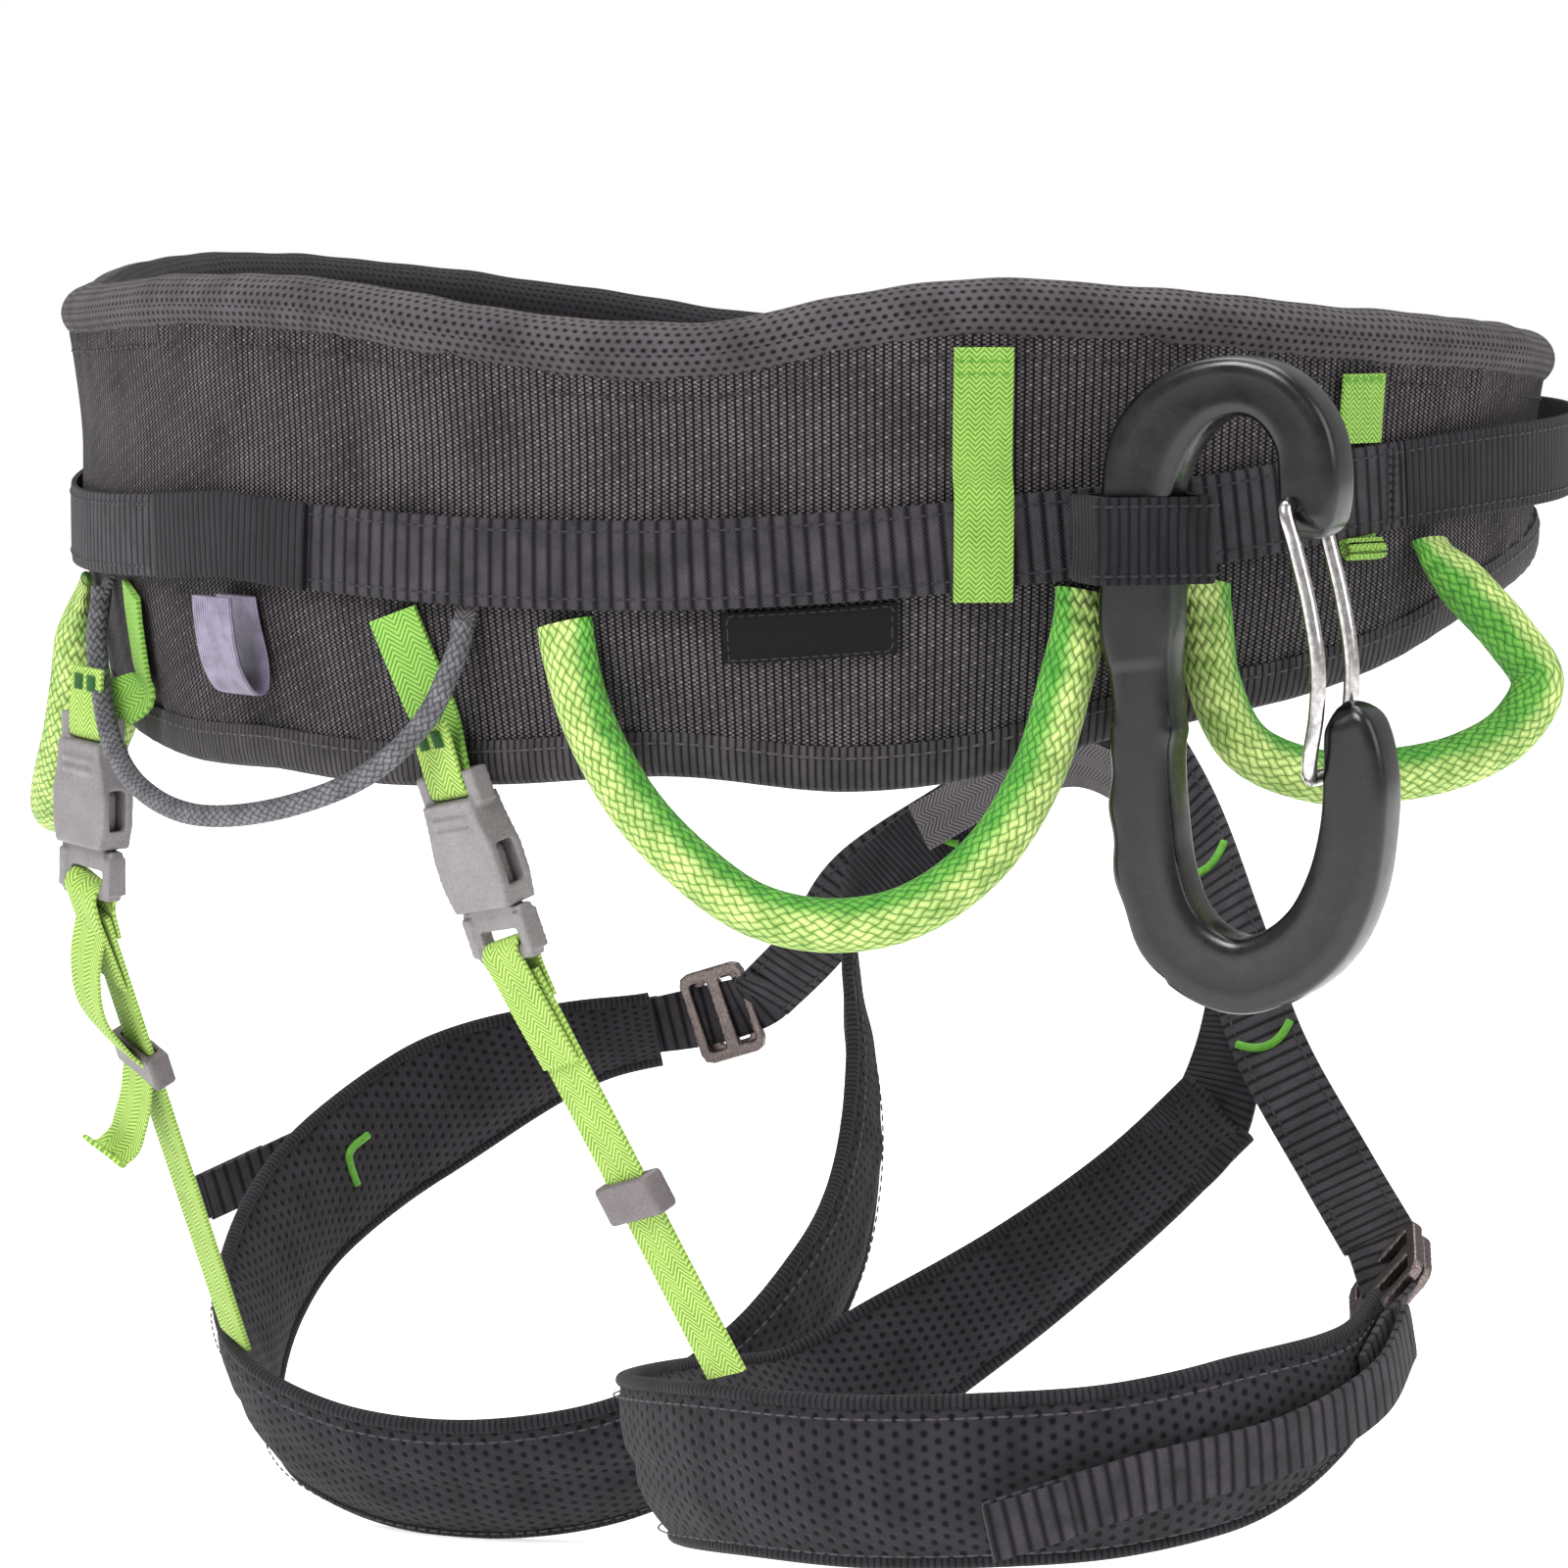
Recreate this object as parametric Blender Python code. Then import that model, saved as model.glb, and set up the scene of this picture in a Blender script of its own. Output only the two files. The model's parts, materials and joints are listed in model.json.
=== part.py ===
"""Tree climbing saddle: padded waist belt, two leg loops, gear loops and a clip-in tool holder.

The frame is the wearer's: +X is the wearer's left, -Y the front, +Z up, and the origin is
the middle of the waist opening at the height of the waist webbing. Sizes are in millimetres
and turn to metres as each mesh is made. Places on the belt are given by an angle round the
waist, 0 at the spine and rising towards the wearer's right, and by how far they stand out.
"""

import bpy
import bmesh
import numpy as np

MM = 0.001
HALF_WIDTH = 191.0          # waist ring, outer face of the shell, along X
HALF_DEPTH = 165.0          # the same along Y
GAP = 0.35                  # air between neighbours
BELT_END = 156.0            # degrees from the spine to the padded belt's front ends
SHELL_THICK = 1.4
FOAM_THICK = 8.6
LINING_THICK = 1.6
ROLL_OUT, ROLL_HIGH = 8.2, 6.8      # half sizes of the padded top roll
BINDING_HIGH = 10.0
WEB_HALF = 9.6              # half height of the waist webbing
WEB_THICK = 1.8
STRAP_END = 93.5            # degrees at which the waist webbing doubles into the front strap
GEAR_RADIUS = 5.8
HAUL_RADIUS = 2.5
RISER_WIDE = 13.0
ELASTIC_WIDE = 12.0
PAD_WIDE = 40.0
PAD_THICK = 9.0
LEG_WEB_WIDE = 18.0
SLEEVE_ANGLE = 68.6
HOOK_YAW = np.radians(45.0)
BUCKLE_ANGLE = 150.0
GATE_RADIUS = 1.65

# (degrees from the spine, millimetres)
TOP_LINE = [(-160, 39), (-131.5, 42), (-115.5, 49), (-95.5, 56), (-76.5, 59), (-60.5, 57), (-44.5, 52),
            (-26.5, 52), (-4.5, 55), (9.5, 54), (21.5, 49), (32.5, 45.5), (40.5, 46), (48.5, 51),
            (56.5, 54.5), (67.5, 53.5), (85.5, 49), (106.5, 45), (122.5, 42), (160, 39)]
BOTTOM_LINE = [(0, -57), (11, -58), (22, -56), (35.5, -52.5), (49.5, -55), (58.5, -52), (67.5, -45),
               (77.5, -40), (86.5, -36), (95.5, -30), (103.5, -23), (120.5, -14), (155.5, -7)]
WEB_LINE = [(0, -3), (10.5, -5), (26.5, -6.5), (40.5, -5.5), (53.5, -2.5), (63.5, 0.5), (75.5, 3.5),
            (87.5, 8), (100.5, 11), (120.5, 13.5), (180, 15)]


def along(knots, t):
    """Smooth curve through (place, value) knots, read at t."""
    x, y = np.array(knots, float).T
    slope = np.gradient(y, x)
    t = np.clip(t, x[0], x[-1])
    i = np.clip(np.searchsorted(x, t) - 1, 0, len(x) - 2)
    h = x[i + 1] - x[i]
    s = (t - x[i]) / h
    rise = y[i] + (y[i + 1] - y[i]) * s * s * (3 - 2 * s)
    return rise + h * s * (1 - s) * (slope[i] * (1 - s) - slope[i + 1] * s)


def top(t):
    return along(TOP_LINE, t)


def bottom(t):
    return along(BOTTOM_LINE, np.abs(t))


def web(t):
    return along(WEB_LINE, np.abs(t))


def ease(s):
    s = np.clip(s, 0.0, 1.0)
    return s * s * (3 - 2 * s)


def lean(z):
    """How far the belt's outer face stands out: it tucks in below the webbing."""
    return 2.0 * ease((z - 12.0) / 30.0) - 10.0 * ease((-z - 4.0) / 60.0)


def ring(t, out, z):
    """Points round the waist at angle t (degrees), standing out by out, at height z."""
    a = np.radians(t)
    normal = np.stack([-HALF_DEPTH * np.sin(a), HALF_WIDTH * np.cos(a)], -1)
    normal = normal / np.linalg.norm(normal, axis=-1, keepdims=True)
    flat = np.stack([-HALF_WIDTH * np.sin(a), HALF_DEPTH * np.cos(a)], -1)
    flat = flat + normal * np.asarray(out)[..., None]
    return np.concatenate([flat, (np.zeros_like(a) + z)[..., None]], -1)


def degrees_for(t, length):
    """Angle round the waist that covers a length in millimetres at angle t."""
    a = np.radians(t)
    return np.degrees(length / np.hypot(HALF_WIDTH * np.cos(a), HALF_DEPTH * np.sin(a)))


def unit(v):
    v = np.asarray(v, float)
    return v / np.linalg.norm(v, axis=-1, keepdims=True)


def smooth_path(points, count, closed=False):
    """Curve of count points through hand-placed points, evenly spread by length."""
    p = np.array(points, float)
    if closed:
        p = np.vstack([p[-2:], p, p[:3]])
    gaps = np.linalg.norm(np.diff(p, axis=0), axis=1) ** 0.5
    place = np.concatenate([[0], np.cumsum(gaps)])
    fine = np.linspace(place[2], place[-3], 600) if closed else np.linspace(0, place[-1], 600)
    curve = np.stack([along(np.stack([place, p[:, k]], 1), fine) for k in range(3)], 1)
    run = np.concatenate([[0], np.cumsum(np.linalg.norm(np.diff(curve, axis=0), axis=1))])
    wanted = np.linspace(0, run[-1], count, endpoint=not closed)
    return np.stack([np.interp(wanted, run, curve[:, k]) for k in range(3)], 1)


def material(name, colour, roughness, metallic=0.0):
    found = bpy.data.materials.get(name)
    if found:
        return found
    made = bpy.data.materials.new(name)
    made.use_nodes = True
    shader = made.node_tree.nodes["Principled BSDF"]
    shader.inputs["Base Color"].default_value = (*colour, 1.0)
    shader.inputs["Roughness"].default_value = roughness
    shader.inputs["Metallic"].default_value = metallic
    return made


MATERIALS = {
    "shell_cloth": ((0.045, 0.040, 0.044), 0.8),
    "spacer_mesh": ((0.060, 0.056, 0.062), 0.85),
    "foam": ((0.10, 0.10, 0.10), 0.9),
    "black_webbing": ((0.030, 0.028, 0.032), 0.7),
    "green_webbing": ((0.28, 0.62, 0.10), 0.6),
    "green_braid": ((0.34, 0.58, 0.12), 0.6),
    "grey_webbing": ((0.24, 0.22, 0.26), 0.5),
    "grey_braid": ((0.36, 0.36, 0.38), 0.6),
    "grey_plastic": ((0.40, 0.37, 0.37), 0.4),
    "dark_plastic": ((0.17, 0.15, 0.155), 0.4),
    "black_nylon": ((0.012, 0.011, 0.011), 0.35),
    "polished_steel": ((0.65, 0.63, 0.62), 0.15, 1.0),
    "bronze_alloy": ((0.36, 0.31, 0.29), 0.3, 1.0),
    "label_satin": ((0.012, 0.012, 0.014), 0.5),
}


def finish(name, vertices, faces, look, pivot=(0, 0, 0)):
    """One named object from vertices in millimetres, its origin at pivot, faces turned out."""
    mesh = bpy.data.meshes.new(name)
    mesh.from_pydata([tuple(v) for v in (np.asarray(vertices) - pivot) * MM], [], faces)
    shape = bmesh.new()
    shape.from_mesh(mesh)
    bmesh.ops.recalc_face_normals(shape, faces=shape.faces)
    shape.to_mesh(mesh)
    shape.free()
    mesh.materials.append(material(look, *MATERIALS[look]))
    mesh.shade_smooth()
    mesh.set_sharp_from_angle(angle=np.radians(40))
    made = bpy.data.objects.new(name, mesh)
    made.location = np.asarray(pivot, float) * MM
    bpy.context.collection.objects.link(made)
    return made


def sweep(name, rings, look, closed=False, pivot=(0, 0, 0)):
    """Skin over rings of points (rings, points per ring, 3), capped unless closed on itself."""
    n, k, _ = rings.shape
    faces = []
    for i in range(n if closed else n - 1):
        for j in range(k):
            a, b = i * k, (i + 1) % n * k
            faces.append((a + j, a + (j + 1) % k, b + (j + 1) % k, b + j))
    if not closed:
        faces += [tuple(range(k)), tuple(range((n - 1) * k, n * k))]
    return finish(name, rings.reshape(-1, 3), faces, look, pivot)


def frames(path, out, closed=False):
    """Tangent, side and outward directions along a path, from rough outward directions."""
    if closed:
        tangent = unit(np.roll(path, -1, 0) - np.roll(path, 1, 0))
    else:
        tangent = unit(np.gradient(path, axis=0))
    side = unit(np.cross(tangent, out))
    return tangent, side, np.cross(side, tangent)


def outline(kind, sides=10):
    """Unit cross-sections: a flat tape, a rounded pad, or a round."""
    if kind == "flat":
        return np.array([(-1, -1), (1, -1), (1, 1), (-1, 1)], float)
    a = np.linspace(0, 2 * np.pi, sides, endpoint=False)
    power = 1.0 if kind == "round" else 0.55
    return np.stack([np.sign(np.cos(a)) * np.abs(np.cos(a)) ** power, np.sin(a)], 1)


def strip(name, path, out, wide, thick, look, kind="flat", sides=10, closed=False, pivot=(0, 0, 0)):
    """A band or tube of given width and thickness (numbers or one value per point)."""
    _, side, up = frames(path, out, closed)
    section = outline(kind, sides)
    half_wide = np.broadcast_to(np.asarray(wide, float) / 2, len(path))[:, None, None]
    half_thick = np.broadcast_to(np.asarray(thick, float) / 2, len(path))[:, None, None]
    rings = path[:, None] + side[:, None] * section[None, :, :1] * half_wide
    rings = rings + up[:, None] * section[None, :, 1:] * half_thick
    return sweep(name, rings, look, closed, pivot)


def spread(values, count):
    """Hand-placed values read evenly at count places."""
    values = np.array(values, float)
    places = np.linspace(0, 1, len(values))
    wanted = np.linspace(0, 1, count)
    return np.stack([np.interp(wanted, places, values[:, k]) for k in range(values.shape[1])], 1)


def block(name, size, centre, axes, look, pivot=None, bevel=0.0):
    """Box of a given size, its three edges along the rows of axes."""
    corners = np.array([(x, y, z) for x in (-1, 1) for y in (-1, 1) for z in (-1, 1)], float) / 2
    points = np.asarray(centre, float) + (corners * size) @ np.asarray(axes, float)
    faces = [(0, 1, 3, 2), (4, 6, 7, 5), (0, 4, 5, 1), (2, 3, 7, 6), (0, 2, 6, 4), (1, 5, 7, 3)]
    made = finish(name, points, faces, look, np.zeros(3) if pivot is None else pivot)
    if bevel:
        mod = made.modifiers.new("Rounded edges", "BEVEL")
        mod.width = bevel * MM
        mod.segments = 2
    return made


def cut(target, cutters):
    for cutter in cutters:
        cutter.hide_render = True
        cutter.display_type = "WIRE"
        mod = target.modifiers.new("Cut " + cutter.name, "BOOLEAN")
        mod.operation = "DIFFERENCE"
        mod.object = cutter
    return target


def plate(name, edge, holes, thick, centre, axes, look, pivot=(0, 0, 0)):
    """Flat plate: an outer outline and slots as boxes (x0, y0, x1, y1), cut through it."""
    a, b, c = np.asarray(axes, float)
    edge = np.array(edge, float)
    low = np.asarray(centre) + edge[:, :1] * a + edge[:, 1:] * b - c * thick / 2
    made = sweep(name, np.stack([low, low + c * thick]), look, pivot=pivot)
    cutters = []
    for i, (x0, y0, x1, y1) in enumerate(holes):
        middle = np.asarray(centre) + a * (x0 + x1) / 2 + b * (y0 + y1) / 2
        cutters.append(block(f"{name}_slot_cutter_{i}", (x1 - x0, y1 - y0, thick * 3), middle, axes, look))
    return cut(made, cutters)


def rounded_box(half_x, half_y, radius, steps=3):
    """Outline of a rectangle with round corners, anticlockwise."""
    points = []
    for cx, cy, start in ((1, 1, 0), (-1, 1, 90), (-1, -1, 180), (1, -1, 270)):
        a = np.radians(start + np.linspace(0, 90, steps))
        points.append(np.stack([cx * (half_x - radius) + radius * np.cos(a),
                                cy * (half_y - radius) + radius * np.sin(a)], 1))
    return np.concatenate(points)


# ---- waist belt -----------------------------------------------------------------------

def belt_layer(name, depth, thick, look, columns=60):
    """One layer of the padded belt, from depth inwards, between the binding and the roll."""
    t = np.linspace(-BELT_END, BELT_END, columns)
    low = bottom(t) + BINDING_HIGH + GAP
    high = top(t) - 2 * ROLL_HIGH - GAP
    levels = np.array([0.0, 0.12, 0.3, 0.55, 1.0])
    rings = []
    for level in levels:
        z = low + (high - low) * level
        thin = 0.5 + 0.5 * ease(level / 0.3)
        rings.append((lean(z) - depth * thin, z, thin))
    outer = np.stack([ring(t, out, z) for out, z, _ in rings], 1)
    inner = np.stack([ring(t, out - thick * thin, z) for out, z, thin in rings], 1)[:, ::-1]
    return sweep(name, np.concatenate([outer, inner], 1), look)


def waist_belt():
    belt_layer("belt_shell", 0.0, SHELL_THICK, "shell_cloth")
    belt_layer("belt_foam", SHELL_THICK + 2 * GAP, FOAM_THICK, "foam")
    belt_layer("belt_mesh_lining", SHELL_THICK + FOAM_THICK + 4 * GAP, LINING_THICK, "spacer_mesh")
    t = np.linspace(-BELT_END - 1, BELT_END + 1, 64)
    middle = top(t) - ROLL_HIGH
    rings = np.stack([ring(t, lean(middle) - 6.0 + ROLL_OUT * x, middle + ROLL_HIGH * y)
                      for x, y in outline("round", 10)], 1)
    sweep("top_roll", rings, "spacer_mesh")
    low = bottom(t)
    edge = [(0.6, 1.0), (0.9, 5.0), (0.6, BINDING_HIGH), (-7.4, BINDING_HIGH), (-7.4, 1.0), (-5.5, 0.0),
            (-1.0, 0.0)]
    rings = np.stack([ring(t, lean(low + z) + out, low + z) for out, z in edge], 1)
    sweep("bottom_binding", rings, "black_webbing")


def band(name, t0, t1, low, high, inner, thick, look, columns=None):
    """Flat tape that follows the waist; low, high and inner are functions of angle."""
    columns = columns or max(6, int(abs(t1 - t0) / 4))
    t = np.linspace(t0, t1, columns)
    rings = np.stack([ring(t, inner(t, z(t)) + d, z(t)) for d, z in
                      ((0, low), (thick, low), (thick, high), (0, high))], 1)
    return sweep(name, rings, look)


def front_bulge(t):
    """How far the front straps stand off the ring as they bow round the front."""
    return 7.0 * ease((np.abs(t) - STRAP_END) / 25.0)


def waist_straps():
    def face(t, z):
        return lean(web(t)) + 2.5 * GAP + front_bulge(t)

    def low(t):
        return web(t) - WEB_HALF

    def high(t):
        return web(t) + WEB_HALF

    join = STRAP_END + 0.25
    band("waist_webbing", -STRAP_END, STRAP_END, low, high, face, WEB_THICK, "black_webbing", 54)
    band("front_strap_right", join, 176.0, low, high, face, WEB_THICK, "black_webbing", 24)
    band("front_strap_left", -join, -BUCKLE_ANGLE + 4.0, low, high, face, WEB_THICK, "black_webbing", 16)
    band("front_strap_bridge", -BUCKLE_ANGLE - 4.0, -183.8, low, high, face, WEB_THICK, "black_webbing", 10)


def keepers():
    """Elastic strips sewn under the roll that hold the webbing down on the belt."""
    for side, sign in (("right", 1), ("left", -1)):
        for place, middle, drop in (("rear", 58.3, 2.6), ("front", 88.8, 0.0)):
            half = degrees_for(middle, 6.4)
            t = sign * np.linspace(middle - half, middle + half, 4)
            z = np.array([web(middle) - WEB_HALF - drop, web(middle) + WEB_HALF + 2.5,
                          web(middle) + WEB_HALF + 5.0, top(middle) - 2 * ROLL_HIGH - 1.0])
            over = lean(z) + np.array([3.4, 3.4, 0.9, 0.9])
            if place == "front":
                over[:] = lean(z) + 0.9
                z[:2] = web(middle) + WEB_HALF + np.array([1.0, 3.0])
            ring_set = [ring(t, over[i] + np.zeros(4), z[i]) for i in range(4)]
            back = [ring(t, over[i] + 1.1 + np.zeros(4), z[i]) for i in range(4)][::-1]
            rings = np.stack(ring_set + back, 1)
            sweep(f"keeper_{place}_{side}", rings, "green_webbing")


def label_and_tab():
    def label_low(t):
        return web(t) - WEB_HALF - 12.0

    def label_high(t):
        return web(t) - WEB_HALF - 1.0

    def label_lift(t, z):
        return lean(z) + 0.6

    band("woven_label", 40.3, 52.5, label_low, label_high, label_lift, 0.6, "label_satin", 6)
    z = np.array([-17.0, -22.0, -33.0, -38.5, -38.5, -33.0, -22.0, -17.0])
    out = lean(z) + np.array([1.4, 1.4, 1.4, 3.4, 6.4, 8.8, 8.6, 8.0])
    path = smooth_path(ring(np.zeros(8), out, z), 14)
    a = np.linspace(0, np.pi, 14)
    outward = np.stack([np.zeros(14), -np.cos(a), -0.9 * np.sin(a)], 1)
    strip("haul_tab", path, outward, 15.0, 1.2, "grey_webbing")


# ---- loops on the belt ----------------------------------------------------------------

REAR_LOOP = [(29.2, 1.9, -2.8), (29.7, 4.5, -9), (31.2, 9, -24), (34.6, 14, -42), (38.7, 17, -55),
             (43.2, 19, -65), (48.2, 19.5, -69), (53.3, 19, -67), (58.3, 17, -57), (62.1, 13, -40),
             (64.1, 8.5, -20), (65.2, 4.5, -8), (65.5, 1.9, -2.8)]
FRONT_LOOP = [(74.9, 1.9, -3.4), (74.6, 5, -10), (74.8, 10, -24), (77.0, 16, -39), (81.6, 22, -47),
              (86.7, 27, -49), (92.4, 31, -48), (96.6, 33, -43), (98.6, 32, -34), (98.2, 23, -24),
              (97.4, 12, -14), (96.9, 5, -7), (96.9, 1.9, -3.4)]
HAUL_LOOP = [(-21.6, 3.2, -3.2), (-21.6, 4.2, -7), (-21.0, 7.4, -14), (-19.2, 11, -25),
             (-15.2, 15.5, -37), (-8.5, 19.5, -46), (0.0, 21.5, -50), (8.5, 19.5, -46), (15.2, 15.5, -37),
             (19.2, 11, -25), (21.0, 7.4, -14), (21.6, 4.2, -7), (21.6, 3.2, -3.2)]


def loop_path(knots, sign, count):
    """Route of a loop from (angle, out, drop below the webbing) knots."""
    t, out, drop = np.array(knots, float).T
    edge = web(np.array([t[0], t[-1]])) - WEB_HALF
    mix = (t - t.min()) / (t.max() - t.min())
    base = edge[0] * (1 - mix) + edge[1] * mix if t[0] < t[-1] else edge.mean()
    z = base + drop
    return smooth_path(ring(sign * t, out + lean(z), z), count)


def gear_loops():
    count = 30
    ends = np.concatenate([[0.0, 0.35, 0.8], np.ones(count - 6), [0.8, 0.35, 0.0]])
    for side, sign in (("right", 1), ("left", -1)):
        for place, knots in (("rear", REAR_LOOP), ("front", FRONT_LOOP)):
            path = loop_path(knots, sign, count)
            out = unit(path * (1, 1, 0))
            wide = 13.0 + (2 * GEAR_RADIUS - 13.0) * ends
            thick = 3.2 + (2 * GEAR_RADIUS - 3.2) * ends
            strip(f"gear_loop_{place}_{side}", path, out, wide, thick, "green_braid", "round", 8,
                  pivot=(path[0] + path[-1]) / 2)


def haul_cord():
    """Thin cord that hangs between two sewn ends across the small of the back."""
    path = loop_path(HAUL_LOOP, 1, 46)
    curve = bpy.data.curves.new("haul_cord", "CURVE")
    curve.dimensions = "3D"
    curve.bevel_depth = HAUL_RADIUS * MM
    curve.bevel_resolution = 2
    curve.use_fill_caps = True
    line = curve.splines.new("POLY")
    line.points.add(len(path) - 1)
    for point, place in zip(line.points, path * MM):
        point.co = (*place, 1.0)
    curve.materials.append(material("grey_braid", *MATERIALS["grey_braid"]))
    made = bpy.data.objects.new("haul_cord", curve)
    bpy.context.collection.objects.link(made)


# ---- tool holder ----------------------------------------------------------------------

# (along, up, width) of the holder's spine, the sleeve's middle being (0, 0)
HOOK = [(38.1, -0.5, 11.5), (39.1, 10.7, 13.5), (37.5, 21, 13.2), (31.4, 28.4, 12.6), (23.9, 31, 12.4),
        (14.6, 29.4, 13.6), (6.7, 24, 16.5), (2, 17, 17.4), (0, 8, 16.2), (0, -5.8, 16.2),
        (0, -21.4, 16.6), (0.9, -29.2, 14), (1.8, -39, 13.6), (1.3, -48.8, 14.6), (1.8, -59.9, 15.4),
        (3.4, -72, 16), (7.1, -81.9, 16.4), (13.6, -88.7, 16.4), (23.2, -92, 16.2), (32.9, -89.3, 16),
        (41.6, -82.3, 16), (47, -72, 15.6), (49.5, -59.9, 14.6), (49.9, -49, 14), (48.6, -38.8, 11),
        (46.9, -33.5, 7)]
HOOK_DEEP = 12.6
SHAFT_OUT = 13.0            # shaft's middle in front of the belt face
GATE = [(35.9, 7.0, 7.1), (36.0, 6.0, 8.7), (38.4, -2.0, 8.8), (41.6, -14.0, 8.8), (43.6, -26.0, 8.8),
        (43.4, -36.0, 8.8), (42.0, -45.0, 8.6), (41.0, -49.0, 6.0), (40.7, -49.6, 0.0)]


def sleeve_frame():
    """Middle of the sleeve on the belt, and its along, out and up directions."""
    here = ring(np.array([SLEEVE_ANGLE]), np.array([0.0]), web(SLEEVE_ANGLE))[0]
    ahead = ring(np.array([SLEEVE_ANGLE + 0.1]), np.array([0.0]), web(SLEEVE_ANGLE))[0]
    run = unit(ahead - here)
    return here, run, np.array([run[1], -run[0], 0.0]), np.array([0.0, 0.0, 1.0])


def hook_frame():
    """Middle of the shaft, and the hook's own along, face and up directions."""
    here, run, out, up = sleeve_frame()
    origin = here + out * SHAFT_OUT
    reach = run * np.cos(HOOK_YAW) + out * np.sin(HOOK_YAW)
    face = out * np.cos(HOOK_YAW) - run * np.sin(HOOK_YAW)
    return origin, reach, face, up


def tool_sleeve():
    """Flat fabric sleeve sewn over the webbing, open above and below."""
    here, run, out, up = sleeve_frame()
    middle = here + out * SHAFT_OUT
    hole = rounded_box(10.2, 8.4, 3.4, 4)
    skin = rounded_box(13.6, 9.4, 3.0, 4)
    hole_points = middle + hole[:, :1] * run + hole[:, 1:] * out
    skin_points = middle + skin[:, :1] * run + skin[:, 1:] * out
    low, high = -10.5 * up, 7.8 * up
    rings = np.stack([skin_points + low, skin_points + high, hole_points + high, hole_points + low], 1)
    sweep("tool_sleeve", rings, "black_webbing", closed=True)


def tool_holder():
    origin, reach, face, up = hook_frame()
    knots = np.array(HOOK)
    marks = origin + knots[:, :1] * reach + knots[:, 1:2] * up
    path = smooth_path(marks, 44)
    near = np.linalg.norm(path[:, None] - marks[None], axis=2)
    weight = 1.0 / (near ** 3 + 1e-3)
    wide = (weight * knots[:, 2]).sum(1) / weight.sum(1)
    deep = np.full(len(path), HOOK_DEEP)
    for end in (0, -1):
        wide[end] *= 0.72
        deep[end] *= 0.62
    facing = np.tile(face, (len(path), 1))
    strip("tool_holder", path, facing, wide, deep, "black_nylon", "pad", 12, pivot=origin)
    legs = np.array(GATE)
    both = np.concatenate([legs, (legs * (1, 1, -1))[-2::-1]])
    wire = smooth_path(origin + both[:, :1] * reach + both[:, 1:2] * up + both[:, 2:] * face, 41)
    tangent = unit(np.gradient(wire, axis=0))
    strip("wire_gate", wire, np.cross(tangent, np.cross(tangent, reach)), 2 * GATE_RADIUS, 2 * GATE_RADIUS,
          "polished_steel", "round", 8, pivot=origin + reach * GATE[0][0] + up * GATE[0][1])


# ---- rear risers with side-release buckles --------------------------------------------

RISERS = {"right": {"sign": 1, "foot": (-62.5, 151.5, -54.5), "end": (-70.5, 140.5, -96.0),
                    "leg": (-99.5, 104.5, -187.5), "slider": 56.0},
          "left": {"sign": -1, "foot": (66.5, 160.5, -50.5), "end": (69.0, 160.0, -93.5),
                   "leg": (112.5, 90.5, -215.5), "slider": 48.0}}
RISER_ANGLE = 15.6
RISER_FOOT = 19.6           # angle at which the riser leaves the belt's lower edge
BUCKLE_START = 2.0          # from the belt's edge to the buckle's bar
HOUSING_LONG = 25.0
PLUG_LONG = 12.0
BUCKLE_WIDE = 22.0
BUCKLE_THICK = 8.6


def riser_frame(side, stretch="buckle"):
    """Start of the buckle's or the elastic's straight stretch, and its side, out and down directions."""
    data = RISERS[side]
    start, stop = ("foot", "end") if stretch == "buckle" else ("end", "leg")
    start = np.array(data[start])
    down = unit(np.array(data[stop]) - start)
    out = np.array([0.0, 1.0, 0.0])
    across = unit(np.cross(down, out))
    return start, across, np.cross(across, down), down


def riser_webbing(side):
    """Upper webbing: down the belt's face from under the waist webbing to the buckle's bar."""
    sign = RISERS[side]["sign"]
    foot, across, out, down = riser_frame(side)
    level = np.linspace(0, 1, 6)
    start = web(RISER_ANGLE) - WEB_HALF - 3.2
    z = start + (bottom(RISER_FOOT) + 14.0 - start) * level
    t = sign * (RISER_ANGLE + 0.6 * (RISER_FOOT - RISER_ANGLE) * level)
    face = ring(t, lean(z) + 1.9, z)
    end = foot + down * np.array([[-1.0], [BUCKLE_START + 1.2]])
    path = smooth_path(np.vstack([face, end]), 18)
    outward = spread([unit(face[0] * (1, 1, 0)), unit(face[0] * (1, 1, 0)), out], 18)
    strip(f"riser_webbing_{side}", path, outward, RISER_WIDE, 1.5, "green_webbing")


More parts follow.
